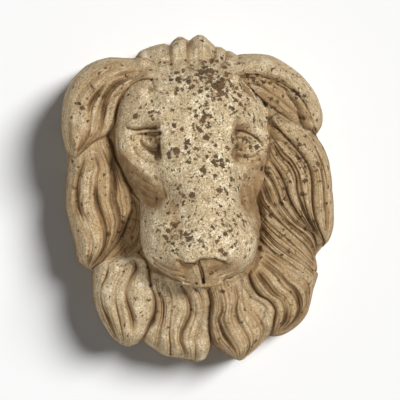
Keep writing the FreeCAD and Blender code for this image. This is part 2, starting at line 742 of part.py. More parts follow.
def wall_plate():
    plate = rounded_block(-plate_width / 2, plate_width / 2, 0, plate_thickness,
                          plate_z - plate_height / 2, plate_z + plate_height / 2, plate_corner)
    for side in (-1, 1):
        for level in (-1, 1):
            x = side * plate_hole_dx / 2
            z = plate_z + level * plate_hole_dz / 2
            plate = plate.cut(rod(plate_hole_radius, vec(x, 1, z), vec(x, -plate_thickness - 1, z)))
    return plate


def wall_hook(side):
    # Flat strip that stands out below the bar and turns up in front of it
    x0 = side * hook_x - hook_width / 2
    x1 = side * hook_x + hook_width / 2
    seat = bar_z - bar_radius - hook_gap
    tip = -bar_y - bar_radius - 3.0
    arm = box(x0, x1, tip - hook_thickness, -plate_thickness, seat - hook_thickness, seat)
    lip = box(x0, x1, tip - hook_thickness, tip, seat - hook_thickness, seat + hook_lip)
    hook = arm.fuse(lip).removeSplitter()
    corner = [e for e in hook.Edges if abs(e.tangentAt(e.FirstParameter).x) > 0.99
              and e.BoundBox.YMax < tip - hook_thickness + 0.1 and e.BoundBox.ZMax < seat]
    return hook.makeFillet(hook_thickness - 0.5, corner)


save("stone_mask", stone_mask())
save("spout_pipe", spout_pipe())
save("spout_mortar", spout_mortar())
save("elbow_body", elbow_body())
save("elbow_nuts", elbow_nuts())
save("elbow_olives", elbow_olives())
save("drop_pipe", drop_pipe())
save("hose_tail", hose_tail())
save("hose_tail_nut", hose_tail_nut())
save("hose_tail_olive", hose_tail_olive())
save("pipe_clip", pipe_clip())
save("clip_screws", Part.Compound([clip_screw(-1), clip_screw(1)]))
save("clip_plugs", Part.Compound([clip_plug(-1), clip_plug(1)]))
save("hanger_bar", hanger_bar())
save("bar_grout", bar_grout())
save("wall_plate", wall_plate())
save("wall_hooks", Part.Compound([wall_hook(-1), wall_hook(1)]))
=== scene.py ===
import bpy
import json
import math
import numpy as np
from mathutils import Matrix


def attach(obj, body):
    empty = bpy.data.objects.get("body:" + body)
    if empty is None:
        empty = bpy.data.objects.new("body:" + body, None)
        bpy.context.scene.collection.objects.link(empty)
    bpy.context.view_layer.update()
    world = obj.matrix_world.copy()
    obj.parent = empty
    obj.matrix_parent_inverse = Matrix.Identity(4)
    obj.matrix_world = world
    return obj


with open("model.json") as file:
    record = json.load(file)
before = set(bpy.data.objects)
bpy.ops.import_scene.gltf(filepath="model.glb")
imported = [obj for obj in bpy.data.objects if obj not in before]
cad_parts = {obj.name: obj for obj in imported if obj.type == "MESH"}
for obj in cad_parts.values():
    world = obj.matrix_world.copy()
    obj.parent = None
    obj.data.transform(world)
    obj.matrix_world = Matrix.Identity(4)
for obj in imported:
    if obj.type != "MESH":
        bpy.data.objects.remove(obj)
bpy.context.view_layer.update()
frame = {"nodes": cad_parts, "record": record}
print("loaded", len(frame["nodes"]), "nodes")

# Shapes are worked out in millimetres from the middle of the mask: x to the right, z up and
# the height above the wall. Meshes are written in metres from the wall plate's middle.
mask = {
    "plateAbove": 88.0,      # wall plate above the middle of the mask
    "rimDepth": 34.0,        # straight edge of the mask
    "rollWidth": 26.0,       # rounding from that edge to the hair
    "maneOuter": 70.0,       # height of the hair near the outline
    "maneInner": 96.0,       # and beside the face
    "maneRise": 110.0,       # distance from the outline over which it rises from one to the other
    "floor": 61.0,           # least height of the hair, so that the recess behind keeps its cover
    "floorBlend": 8.0,       # distance of the soft turn into it
    "least": 56.0,           # the hidden edges of the pieces end above this height
    "hollows": [(-94, -30, 20, 50, 34), (-117, 76, 13, 44, 18)],   # middle, half sizes, depth
    # above the brow the hair grows out of the head without a step: where that begins and ends,
    # and over what distance it fades in and out
    "drape": {"low": 124, "lowFade": 16, "top": 214, "topFade": 30, "right": 66, "rightFade": 24,
              "over": 0.8},
    "outline": [
        (1, 225), (8, 224), (15, 218), (25, 209), (33, 208), (40, 203), (47, 203), (53, 198), (57, 195),
        (71, 199), (84, 199), (100, 197), (112, 192), (128, 182), (141, 172), (154, 158), (165, 141),
        (171, 124), (173, 113), (171, 100), (165, 90), (167, 80),
        (174, 70), (181, 52), (184, 36), (186, 10), (188, -16), (188, -39), (182, -58), (176, -65),
        (164, -81), (167, -97), (164, -113), (160, -126), (156, -147), (151, -162), (143, -173),
        (131, -183), (117, -190), (101, -192), (94, -196),
        (88, -203), (75, -215), (65, -224), (58, -226), (51, -223), (43, -217), (31, -213), (21, -206),
        (17, -213), (12, -222), (4, -227), (-10, -224), (-28, -221), (-47, -218), (-62, -207),
        (-75, -198), (-84, -202), (-95, -206), (-106, -203), (-117, -195), (-128, -180), (-137, -162),
        (-143, -145), (-145, -125), (-145, -102), (-153, -98), (-160, -93), (-167, -88),
        (-169, -68), (-173, -51), (-178, -32), (-182, -17), (-183, 0), (-182, 17), (-180, 46),
        (-182, 64), (-185, 78), (-188, 95), (-188, 112), (-184, 142), (-173, 164), (-155, 182),
        (-138, 190), (-121, 194), (-104, 193), (-89, 192),
        (-85, 196), (-79, 203), (-64, 209), (-46, 213), (-39, 210), (-35, 216), (-27, 222), (-21, 222),
        (-16, 219), (-12, 217), (-6, 221),
    ],
    # big forms of the hair: centre line, half width, lift
    "forms": [
        ([(-90, 178), (-128, 166), (-155, 138), (-163, 105), (-161, 62)], 34, 24),
        ([(52, 180), (98, 182), (132, 160), (154, 128), (160, 98)], 19, 16),
        ([(72, 160), (104, 140), (132, 112), (150, 100)], 22, -8),
        ([(-150, 60), (-158, 20), (-157, -20), (-148, -55), (-136, -84)], 36, 10),
        ([(-96, -72), (-108, -110), (-106, -150), (-95, -188)], 44, 12),
        ([(-48, -112), (-44, -150), (-30, -190), (-8, -214)], 38, 10),
        ([(28, -130), (36, -165), (56, -200), (60, -218)], 40, 12),
        ([(84, -104), (112, -120), (128, -148), (116, -180)], 32, 12),
        ([(98, -48), (126, -66), (146, -88), (158, -112)], 26, 12),
        ([(86, 20), (104, -12), (136, -40), (160, -56)], 16, 10),
        ([(112, 96), (146, 74), (168, 36), (172, -10), (172, -52)], 18, 12),
        ([(108, 60), (134, 30), (142, -6), (152, -36)], 16, 8),
        ([(-60, 172), (-62, 206)], 22, 8),
        ([(-24, 168), (-24, 218)], 18, 14),
        ([(8, 168), (2, 222)], 15, 16),
        ([(36, 168), (30, 208)], 18, 10),
    ],
}


# Curves and noise

def chain(points, count):
    # smooth curve through points, with its count places at even distances: a cubic between each pair
    # of points, whose slope at a point is the mean of the slopes on its two sides
    p = np.array(points, float)
    d = np.r_[0, np.cumsum(np.sqrt(np.hypot(*np.diff(p, axis=0).T)))]
    m = np.gradient(p, d, axis=0) if len(p) > 2 else np.repeat((p[1:] - p[:-1]) / d[1], 2, 0)
    fine = np.linspace(0, d[-1], 12 * len(p))
    for s in (fine, None):
        if s is None:
            length = np.r_[0, np.cumsum(np.hypot(*np.diff(curve, axis=0).T))]
            s = np.interp(np.linspace(0, length[-1], count), length, fine)
        i = np.clip(np.searchsorted(d, s, side="right") - 1, 0, len(p) - 2)
        h = (d[i + 1] - d[i])[:, None]
        t = ((s - d[i]) / (d[i + 1] - d[i]))[:, None]
        curve = (1 + 2 * t) * (1 - t) ** 2 * p[i] + t * (1 - t) ** 2 * h * m[i]
        curve = curve + t * t * (3 - 2 * t) * p[i + 1] + t * t * (t - 1) * h * m[i + 1]
    return curve


def distanceTo(x, z, line):
    # distance from each point to a chain of straight pieces, and the share of the chain there
    best = np.full(x.shape, 1e9)
    along = np.zeros(x.shape)
    pieces = np.hypot(*np.diff(line, axis=0).T)
    starts = np.r_[0, np.cumsum(pieces)]
    for k in range(len(line) - 1):
        dx, dz = line[k + 1] - line[k]
        t = np.clip(((x - line[k][0]) * dx + (z - line[k][1]) * dz) / (dx * dx + dz * dz + 1e-9), 0, 1)
        d = np.hypot(x - line[k][0] - t * dx, z - line[k][1] - t * dz)
        nearer = d < best
        best = np.where(nearer, d, best)
        along = np.where(nearer, (starts[k] + t * pieces[k]) / starts[-1], along)
    return best, along


def smooth(t):
    # rises from 0 to 1 with level ends
    t = np.clip(t, 0, 1)
    return t * t * (3 - 2 * t)


def joined(a, b, width):
    # the greater of two heights, with a soft turn where they meet
    near = np.clip(1 - np.abs(a - b) / width, 0, 1)
    return np.maximum(a, b) + near * near * width / 4


def lumps(x, z, size, seed):
    # random values between -1 and 1 on a square net of the given cell size, joined smoothly; the net
    # repeats after its last cell
    cells, middle = 64, 200.5
    table = np.random.default_rng(seed).uniform(-1, 1, (cells, cells))
    u, v = x / size + middle, z / size + middle
    i, j = np.floor(u).astype(int), np.floor(v).astype(int)
    a, b = smooth(u - i), smooth(v - j)
    left, right, under, over = i % cells, (i + 1) % cells, j % cells, (j + 1) % cells
    low = table[left, under] * (1 - a) + table[right, under] * a
    high = table[left, over] * (1 - a) + table[right, over] * a
    return low * (1 - b) + high * b


def radiusAt(points, x, z):
    # radius of a closed outline at the angle of each point
    p = np.array(points, float)
    angle, radius = np.arctan2(p[:, 1], p[:, 0]), np.hypot(p[:, 0], p[:, 1])
    order = np.argsort(angle)
    return np.interp(np.arctan2(z, x), angle[order], radius[order], period=2 * np.pi)


def hairHeight(x, z):
    # height of the hair without its grooves: a dish that rises towards the face, with the
    # big forms on it, rounded off to the straight edge at the outline
    edge = radiusAt(mask["outline"], x, z) - np.hypot(x, z)
    height = mask["maneOuter"] + (mask["maneInner"] - mask["maneOuter"]) * smooth(edge / mask["maneRise"])
    lift = np.zeros(x.shape)
    for points, half, size in mask["forms"]:
        d = distanceTo(x, z, np.array(points, float))[0] / half
        rise = size * np.sqrt(np.clip(1 - d * d, 0, 1))
        lift = np.where((size < 0) & (lift == 0), rise, np.maximum(lift, rise))
    height = height + lift
    for cx, cz, rx, rz, depth in mask["hollows"]:
        height = height - depth * np.exp(-((x - cx) / rx) ** 2 - ((z - cz) / rz) ** 2)
    drape = mask["drape"]
    share = smooth((drape["top"] - z) / drape["topFade"]) * smooth((z - drape["low"]) / drape["lowFade"])
    share = share * smooth((drape["right"] - x) / drape["rightFade"])
    height = height + share * np.maximum(bareHead(x, z) + drape["over"] - height, 0)
    height = joined(height, mask["floor"], mask["floorBlend"])
    roll = np.clip(edge / mask["rollWidth"], 0, 1)
    return mask["rimDepth"] + (height - mask["rimDepth"]) * np.sqrt(1 - (1 - roll) ** 2)


# Materials

class Wire:
    # a number in a material; arithmetic on it adds Math nodes
    def __init__(self, kit, socket):
        self.kit, self.socket = kit, socket

    def do(self, operation, *others, clamp=False):
        # a Math node on this number and the others
        settings = {"operation": operation, "use_clamp": clamp}
        return Wire(self.kit, self.kit.node("ShaderNodeMath", settings, [self, *others]).outputs[0])

    def __add__(self, other): return self.do("ADD", other)
    def __sub__(self, other): return self.do("SUBTRACT", other)
    def __mul__(self, other): return self.do("MULTIPLY", other)
    def __rsub__(self, other): return (self * -1.0) + other
    def __lt__(self, other): return self.do("LESS_THAN", other)
    __radd__, __rmul__ = __add__, __mul__

    def held(self): return self.do("ADD", 0.0, clamp=True)      # kept between 0 and 1
    def between(self, low, high): return (self - low).do("DIVIDE", high - low, clamp=True)


class Kit:
    # one material and its nodes
    def __init__(self, name):
        self.material = bpy.data.materials.new(name)
        self.material.use_nodes = True
        self.tree = self.material.node_tree
        self.shader = self.tree.nodes["Principled BSDF"]

    def node(self, kind, settings, values):
        # a node with its settings and with values for its inputs, by name or by number
        made = self.tree.nodes.new(kind)
        for key, value in settings.items():
            if key == "stops":
                ramp = made.color_ramp.elements
                while len(ramp) < len(value):
                    ramp.new(0.5)
                for stop, (place, colour) in zip(ramp, value):
                    stop.position, stop.color = place, (*colour, 1.0)
            else:
                setattr(made, key, value)
        pairs = values.items() if isinstance(values, dict) else enumerate(values)
        for key, value in pairs:
            self.put(value, made.inputs[key])
        return made

    def put(self, value, socket):
        # links a socket to an input, or sets the input to a number or a colour
        if isinstance(value, Wire):
            value = value.socket
        if isinstance(value, bpy.types.NodeSocket):
            self.tree.links.new(value, socket)
        elif isinstance(value, tuple) and len(value) == 3 and socket.type == "RGBA":
            socket.default_value = (*value, 1.0)
        else:
            socket.default_value = value

    def place(self, scale=(1.0, 1.0, 1.0), vector=None, turn=(0.0, 0.0, 0.0)):
        # Object coordinates, or another vector, stretched and turned
        if vector is None:
            vector = self.node("ShaderNodeTexCoord", {}, {}).outputs["Object"]
        values = {"Vector": vector, "Scale": scale, "Rotation": turn}
        return self.node("ShaderNodeMapping", {}, values).outputs[0]

    def noiseNode(self, vector, scale, detail, rough):
        values = {"Vector": vector, "Scale": scale, "Detail": detail, "Roughness": rough}
        return self.node("ShaderNodeTexNoise", {}, values)

    def noise(self, vector, scale, detail=2.0, rough=0.5):
        return Wire(self, self.noiseNode(vector, scale, detail, rough).outputs[0])

    def cells(self, vector, scale):
        # distance to the nearest middle of a cell, and three random numbers of that cell
        made = self.node("ShaderNodeTexVoronoi", {"feature": "F1"}, {"Vector": vector, "Scale": scale})
        split = self.node("ShaderNodeSeparateColor", {}, [made.outputs["Color"]])
        return Wire(self, made.outputs["Distance"]), [Wire(self, o) for o in split.outputs]

    def blend(self, factor, first, second, how="MIX"):
        # the colour sockets of a Mix node are its seventh and eighth inputs and its third output
        values = {0: factor, 6: first, 7: second}
        return self.node("ShaderNodeMix", {"data_type": "RGBA", "blend_type": how}, values).outputs[2]

    def bump(self, height, distance, strength):
        values = {"Height": height, "Distance": distance, "Strength": strength}
        return self.node("ShaderNodeBump", {}, values).outputs[0]

    def finish(self, colour, roughness, normal=None, **fixed):
        self.put(colour, self.shader.inputs["Base Color"])
        self.put(roughness, self.shader.inputs["Roughness"])
        if normal is not None:
            self.put(normal, self.shader.inputs["Normal"])
        for key, value in fixed.items():
            self.shader.inputs[key].default_value = value
        return self.material


stoneLook = {
    "face": (0.67, 0.545, 0.35),
    "mane": (0.66, 0.525, 0.33),
    "ochre": (0.47, 0.295, 0.125),
    "grey": (0.45, 0.375, 0.27),
    "cream": (1.0, 0.885, 0.67),
    # browns of the crevices and dark lines: partly real stain, mostly painted shade, near black where deepest
    "stain": (0.345, 0.200, 0.080),
    "recess": (0.135, 0.074, 0.029),
    "soot": (0.030, 0.018, 0.010),
    "lichen": (0.085, 0.050, 0.024),
    "lichenPale": (0.18, 0.098, 0.040),
    "rust": (0.28, 0.12, 0.045),
    "grainDark": (0.54, 0.475, 0.39), "grainPale": (1.24, 1.22, 1.19),     # multiplied with the stone
    # waves or cells to the metre
    "patchScale": 17.0, "cloudScale": 62.0, "grainScale": 430.0, "sandScale": 950.0, "pitScale": 560.0,
    "streakScale": 380.0, "fibreScale": 1050.0, "rustScale": 42.0, "clumpScale": 125.0,
    # how much each shows
    "ochreShare": 0.48, "greyShare": 0.30, "pitShare": 0.6, "sandShare": 0.5, "rustShare": 0.85,
    "streakOchre": 0.50, "fibreBrown": 0.42, "streakCream": 0.45,
    # lichen spots: scale, least size, spread of sizes, share of the cells, growth where they crowd
    "spots": [(84.0, 0.17, 0.24, 0.86, 0.0), (140.0, 0.17, 0.26, 0.90, 0.6), (250.0, 0.16, 0.26, 0.66, 0.0)],
    "wobbleScale": 330.0, "wobble": (0.0100, 0.0100, 0.0100),      # ragged edge of the spots
    "underFrom": 0.040, "underTo": 0.056, "underShade": 0.55,       # heights where the stone below goes brown, as painted shade in the gaps between locks
    "roughness": 0.86, "relief": 0.0025, "reliefShare": 0.90, "specular": 0.22,
}


def stoneMaterial(name, combed=False, under=False):
    # Weathered cast stone. The tint attribute holds how much painted shade and brown stain darken a point,
    # mostly in its crevices, how thick the lichen stands and how pale the stone is. Combed stone has streaks
    # along the strands. The stone under the locks shows in the gaps between them alone, where it is painted
    # brown as shade.
    look = stoneLook
    kit = Kit(name)
    here = kit.place()
    tint = kit.node("ShaderNodeAttribute", {"attribute_name": "tint"}, {})
    parts = kit.node("ShaderNodeSeparateColor", {}, [tint.outputs["Color"]]).outputs
    shadeAndStain, lichen, pale = [Wire(kit, o) for o in parts]
    if under:
        split = kit.node("ShaderNodeSeparateXYZ", {}, [here]).outputs
        # painted shade: the stone under the locks turns brown from 40 to 56 mm above the wall, where it shows
        # in the gaps
        shadeAndStain = (Wire(kit, split[1]) * -1.0).between(look["underFrom"], look["underTo"]) * look["underShade"]
    patches = kit.noise(here, look["patchScale"], 4.0, 0.65)
    cloud = kit.noise(here, look["cloudScale"], 5.0, 0.7)
    grain = kit.noise(here, look["grainScale"], 4.0, 0.75)
    sand = kit.noise(here, look["sandScale"], 2.0, 0.6)
    pits = kit.noise(kit.place((1.0, 1.0, 1.3)), look["pitScale"], 2.0, 0.6)
    # the stone itself: ochre and grey patches, and cream where it is worn
    worn = 1.0 - pale * 0.8
    colour = kit.blend(pale, look["mane"], look["face"])
    colour = kit.blend(patches.between(0.50, 0.66) * worn * look["ochreShare"], colour, look["ochre"])
    colour = kit.blend(cloud.between(0.52, 0.70) * look["greyShare"], colour, look["grey"])
    colour = kit.blend((1.0 - cloud).between(0.50, 0.64) * (0.35 + pale * 0.45), colour, look["cream"])
    if combed:                                               # fewer streaks where the stone is pale
        strand = kit.node("ShaderNodeUVMap", {"uv_map": "strand"}, {}).outputs[0]
        streak = kit.noise(kit.place((look["streakScale"], 22.0, 1.0), vector=strand), 1.0, 3.0, 0.65)
        fibre = kit.noise(kit.place((look["fibreScale"], 40.0, 1.0), vector=strand), 1.0, 2.0, 0.6)
        lines = (streak * 0.6 + fibre * 0.4).between(0.38, 0.60)
        colour = kit.blend((1.0 - lines) * worn * look["streakOchre"], colour, look["ochre"])
        # dark fine lines where the fibre bump is low: partly stain, partly painted shade in the fine cuts
        broken = 1.0 - fibre.between(0.30, 0.46)
        colour = kit.blend(broken * worn * look["fibreBrown"], colour, look["recess"])
        colour = kit.blend(streak.between(0.54, 0.68) * worn * look["streakCream"], colour, look["cream"])
    shades = kit.blend(grain.between(0.38, 0.62), look["grainDark"], look["grainPale"])
    colour = kit.blend(0.80 if combed else 1.0, colour, shades, "MULTIPLY")
    # small dark pits and pale grains of sand
    dark = pits.between(0.62, 0.70)
    colour = kit.blend(dark * look["pitShare"], colour, look["recess"])
    colour = kit.blend((1.0 - pits).between(0.62, 0.72) * look["sandShare"], colour, look["cream"])
    # painted shade and brown stain lie in the crevices, uneven along them; the darkest step is painted deep
    # shade
    stain = shadeAndStain * (0.6 + cloud * 0.9)
    for low, high, share, shade in ((0.0, 0.5, 0.75, "stain"), (0.42, 1.1, 0.85, "recess"),
                                    (1.0, 1.5, 0.90, "soot")):
        colour = kit.blend(stain.between(low, high) * share, colour, look[shade])
    # rust spots, few
    turned = kit.place(turn=(0.5, 0.35, 0.8))
    wobble = kit.noiseNode(turned, look["wobbleScale"], 5.0, 0.70).outputs[1]
    ragged = [wobble, look["wobble"], turned]
    wander = kit.node("ShaderNodeVectorMath", {"operation": "MULTIPLY_ADD"}, ragged).outputs[0]
    far, chance = kit.cells(wander, look["rustScale"])
    rust = (0.16 - far).between(0.0, 0.05) * (chance[0] < 0.12) * (0.35 + pale * 0.65)
    colour = kit.blend(rust.held() * look["rustShare"], colour, look["rust"])
    # lichen: dark brown spots of three sizes, where the attribute lets them stand
    spots = None
    crowd = (lichen - 0.45).held()                           # in thick lichen the middle spots are many
    for scale, least, spread, share, growth in look["spots"]:
        far, chance = kit.cells(wander, scale)
        size = (chance[1] * spread + least) * (0.85 + lichen * 0.40 + crowd * growth)
        rounds = (size - far).between(0.0, 0.07) * (chance[0] < lichen * share)
        spots = rounds if spots is None else spots.do("MAXIMUM", rounds)
    clumps = (kit.noise(wander, look["clumpScale"], 2.0, 0.6) + lichen * 0.10).between(0.68, 0.71)
    spots = spots.do("MAXIMUM", clumps)
    shade = kit.blend(cloud.between(0.42, 0.60), look["lichen"], look["lichenPale"])
    colour = kit.blend(spots * (0.80 + grain * 0.3).held(), colour, shade)
    heights = grain * 0.55 + sand * 0.25 + cloud * 0.55 - spots * 0.6 - dark * 0.5
    if combed:
        heights = heights + streak * 0.65 + fibre * 0.5
    return kit.finish(colour, look["roughness"] + grain * 0.12,
                      kit.bump(heights, look["relief"], look["reliefShare"]),
                      **{"Specular IOR Level": look["specular"]})


mortarLook = {
    "dark": (0.33, 0.31, 0.27), "pale": (0.56, 0.53, 0.47), "ochre": (0.42, 0.36, 0.27),
    "grainScale": 700.0, "cloudScale": 90.0, "holeScale": 260.0, "relief": 0.0008,
}


def mortarMaterial():
    # sandy mortar with small holes
    look = mortarLook
    kit = Kit("mortar")
    here = kit.place()
    grain = kit.noise(here, look["grainScale"], 3.0, 0.6)
    cloud = kit.noise(here, look["cloudScale"], 2.0)
    far, chance = kit.cells(here, look["holeScale"])
    holes = (0.2 - far).between(0.0, 0.06) * (chance[0] < 0.4)
    colour = kit.blend(grain.between(0.35, 0.65), look["dark"], look["pale"])
    colour = kit.blend(cloud.between(0.45, 0.7) * 0.5, colour, look["ochre"])
    return kit.finish(colour, 0.93, kit.bump(grain * 0.6 - holes, look["relief"], 0.7))


copperLook = {
    "bright": (0.62, 0.30, 0.17), "brown": (0.25, 0.115, 0.06), "green": (0.20, 0.36, 0.27),
    "filmScale": 75.0, "greenScale": 130.0, "drawn": (900.0, 60.0, 60.0), "relief": 0.0003,
}


def copperMaterial():
    # dull tube: brown film with brighter copper, and some green here and there
    look = copperLook
    kit = Kit("copper")
    here = kit.place()
    film = kit.noise(here, look["filmScale"], 4.0, 0.6)
    draw = kit.noise(kit.place(look["drawn"]), 1.0, 2.0)
    green = kit.noise(here, look["greenScale"], 4.0, 0.7).between(0.62, 0.74)
    colour = kit.blend(film.between(0.38, 0.66), look["bright"], look["brown"])
    colour = kit.blend(green * 0.6, colour, look["green"])
    rough = (0.34 + film * 0.25 + green * 0.3).held()
    kit.put(1.0 - green * 0.8, kit.shader.inputs["Metallic"])
    return kit.finish(colour, rough, kit.bump(draw * 0.4 + film * 0.5 + green, look["relief"], 0.5))


brassLook = {
    "bright": (0.66, 0.48, 0.20), "dull": (0.30, 0.19, 0.075), "green": (0.22, 0.31, 0.22),
    "filmScale": 110.0, "castScale": 650.0, "greenScale": 240.0, "relief": 0.0003, "metallic": 0.9,
}


def brassMaterial():
    # cast and turned brass gone dull, with some green
    look = brassLook
    kit = Kit("brass")
    here = kit.place()
    film = kit.noise(here, look["filmScale"], 4.0, 0.6)
    cast = kit.noise(here, look["castScale"], 2.0)
    colour = kit.blend(film.between(0.4, 0.7), look["bright"], look["dull"])
    green = kit.noise(here, look["greenScale"], 3.0).between(0.64, 0.74)
    colour = kit.blend(green * 0.5, colour, look["green"])
    return kit.finish(colour, (0.30 + film * 0.32).held(), kit.bump(cast * 0.5 + film, look["relief"], 0.5),
                      **{"Metallic": look["metallic"]})


galvanisedLook = {
    "dark": (0.38, 0.40, 0.42), "pale": (0.60, 0.62, 0.63), "bloom": (0.66, 0.67, 0.66),
    "rust": (0.26, 0.11, 0.04),
    "spangleScale": 190.0, "bloomScale": 60.0, "rustScale": 95.0, "relief": 0.0003,
}


def galvanisedMaterial():
    # zinc crystals of different greys, with white bloom and a little rust
    look = galvanisedLook
    kit = Kit("galvanised")
    here = kit.place()
    far, chance = kit.cells(here, look["spangleScale"])
    bloom = kit.noise(here, look["bloomScale"], 4.0, 0.65).between(0.5, 0.72)
    rust = kit.noise(here, look["rustScale"], 4.0, 0.7).between(0.66, 0.74)
    colour = kit.blend(chance[0], look["dark"], look["pale"])
    colour = kit.blend(bloom * 0.6, colour, look["bloom"])
    colour = kit.blend(rust * 0.8, colour, look["rust"])
    kit.put(0.85 - bloom * 0.45 - rust * 0.4, kit.shader.inputs["Metallic"])
    return kit.finish(colour, (0.42 + chance[1] * 0.12 + bloom * 0.25 + rust * 0.2).held(),
                      kit.bump(far * 0.4 + rust, look["relief"], 0.5))


plasticLook = {"clean": (0.40, 0.39, 0.37), "dusty": (0.52, 0.47, 0.38), "dustScale": 200.0}


def plasticMaterial():
    # moulded nylon plugs, grey with dust
    look = plasticLook
    kit = Kit("plastic")
    here = kit.place()
    dust = kit.noise(here, look["dustScale"], 4.0, 0.6)
    colour = kit.blend(dust.between(0.45, 0.7), look["clean"], look["dusty"])
    return kit.finish(colour, (0.45 + dust * 0.3).held(), kit.bump(kit.noise(here, 900.0), 0.0002, 0.5))


stone = stoneMaterial("stone")
hairStone = stoneMaterial("hair_stone", combed=True)
finishes = {
    "stone": stoneMaterial("stone_under", under=True), "mortar": mortarMaterial(),
    "copper": copperMaterial(), "brass": brassMaterial(),
    "plastic": plasticMaterial(), "galvanised": galvanisedMaterial(),
}
for row in frame["record"]["subparts"]:
    node = frame["nodes"][row["node"]]
    for place in node.material_slots:
        place.link = "DATA"
        place.material = finishes[row["material_slot"]]
print("materials made")


# Making meshes

def toFrame(x, z, height):
    # millimetres of the mask to metres of the frame
    return np.stack([x / 1000, -height / 1000, (z - mask["plateAbove"]) / 1000], -1)


def writeMesh(name, points, faces, tint, material, strand=None):
    # faces: arrays of corner numbers, each array with one face a row. Tint and strand hold one row a point.
    corners = np.concatenate([f.ravel() for f in faces])
    sizes = np.concatenate([np.full(len(f), f.shape[1]) for f in faces])
    mesh = bpy.data.meshes.new(name)
    mesh.vertices.add(len(points))
    mesh.vertices.foreach_set("co", points.astype(np.float32).ravel())
    mesh.loops.add(len(corners))
    mesh.loops.foreach_set("vertex_index", corners.astype(np.int32))
    mesh.polygons.add(len(sizes))
    mesh.polygons.foreach_set("loop_start", np.r_[0, np.cumsum(sizes)[:-1]].astype(np.int32))
    mesh.update(calc_edges=True)
    mesh.validate()
    mesh.polygons.foreach_set("use_smooth", np.ones(len(mesh.polygons), bool))
    layer = mesh.color_attributes.new("tint", "FLOAT_COLOR", "POINT")
    layer.data.foreach_set("color", np.c_[tint, np.ones(len(tint))].astype(np.float32).ravel())
    if strand is not None:
        loops = np.empty(len(mesh.loops), np.int32)
        mesh.loops.foreach_get("vertex_index", loops)
        layer = mesh.uv_layers.new(name="strand")
        layer.data.foreach_set("uv", strand[loops].astype(np.float32).ravel())
    mesh.materials.append(material)
    made = bpy.data.objects.new(name, mesh)
    bpy.context.scene.collection.objects.link(made)
    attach(made, "mask")
    return made


def tubeMesh(name, points, tint, material, strand):
    # A grid of points (rows along the piece, columns across it) made a closed form: the first and
    # last column are joined by a flat back, and each end is closed by a fan round a middle point,
    # which lies halfway between the end's mean and the middle of its back.
    rows, cols = points.shape[:2]
    index = np.arange(rows * cols).reshape(rows, cols)
    wrap = np.c_[index, index[:, :1]]
    quads = np.stack([wrap[:-1, :-1], wrap[:-1, 1:], wrap[1:, 1:], wrap[1:, :-1]], -1).reshape(-1, 4)
    fans = [np.stack([np.full(cols, rows * cols + k), ring, np.roll(ring, -1)], -1)
            for k, ring in enumerate((index[0, ::-1], index[-1]))]
    ends = points[[0, -1]]
    middles = ends.mean(1) / 2 + (ends[:, 0] + ends[:, -1]) / 4
    return writeMesh(name, np.r_[points.reshape(-1, 3), middles], [quads, *fans],
                     np.r_[tint.reshape(-1, 3), tint[[0, -1], 0]], material,
                     np.r_[strand.reshape(-1, 2), strand[[0, -1], 0]])


def shellMesh(name, front, thickness, step, tint, material):
    # A square grid of points and a coarser copy of it behind them, joined round the rim: each edge of
    # the copy meets the points of the front that lie before it in one face.
    rows = len(front)
    index = np.arange(rows * rows).reshape(rows, rows)
    back = front[::step, ::step] + np.array([0.0, 1.0, 0.0]) * thickness[::step, ::step, None] / 1000
    few = len(back)
    behind = rows * rows + np.arange(few * few).reshape(few, few)
    turned = behind.T                                        # so that the back's faces point backwards
    faces = [np.stack([grid[:-1, :-1], grid[:-1, 1:], grid[1:, 1:], grid[1:, :-1]], -1).reshape(-1, 4)
             for grid in (index, turned)]
    for near, far in ((index[0], behind[0]), (index[:, -1], behind[:, -1]),
                      (index[-1, ::-1], behind[-1, ::-1]), (index[::-1, 0], behind[::-1, 0])):
        starts = np.arange(0, rows - 1, step)[:, None]
        faces.append(np.c_[near[starts + np.arange(step, -1, -1)], far[:-1], far[1:]])
    points = np.concatenate([front.reshape(-1, 3), back.reshape(-1, 3)])
    tints = np.concatenate([tint.reshape(-1, 3), tint[::step, ::step].reshape(-1, 3)])
    return writeMesh(name, points, faces, tints, material)


# Head: a net of heights, with the features of the face drawn on it

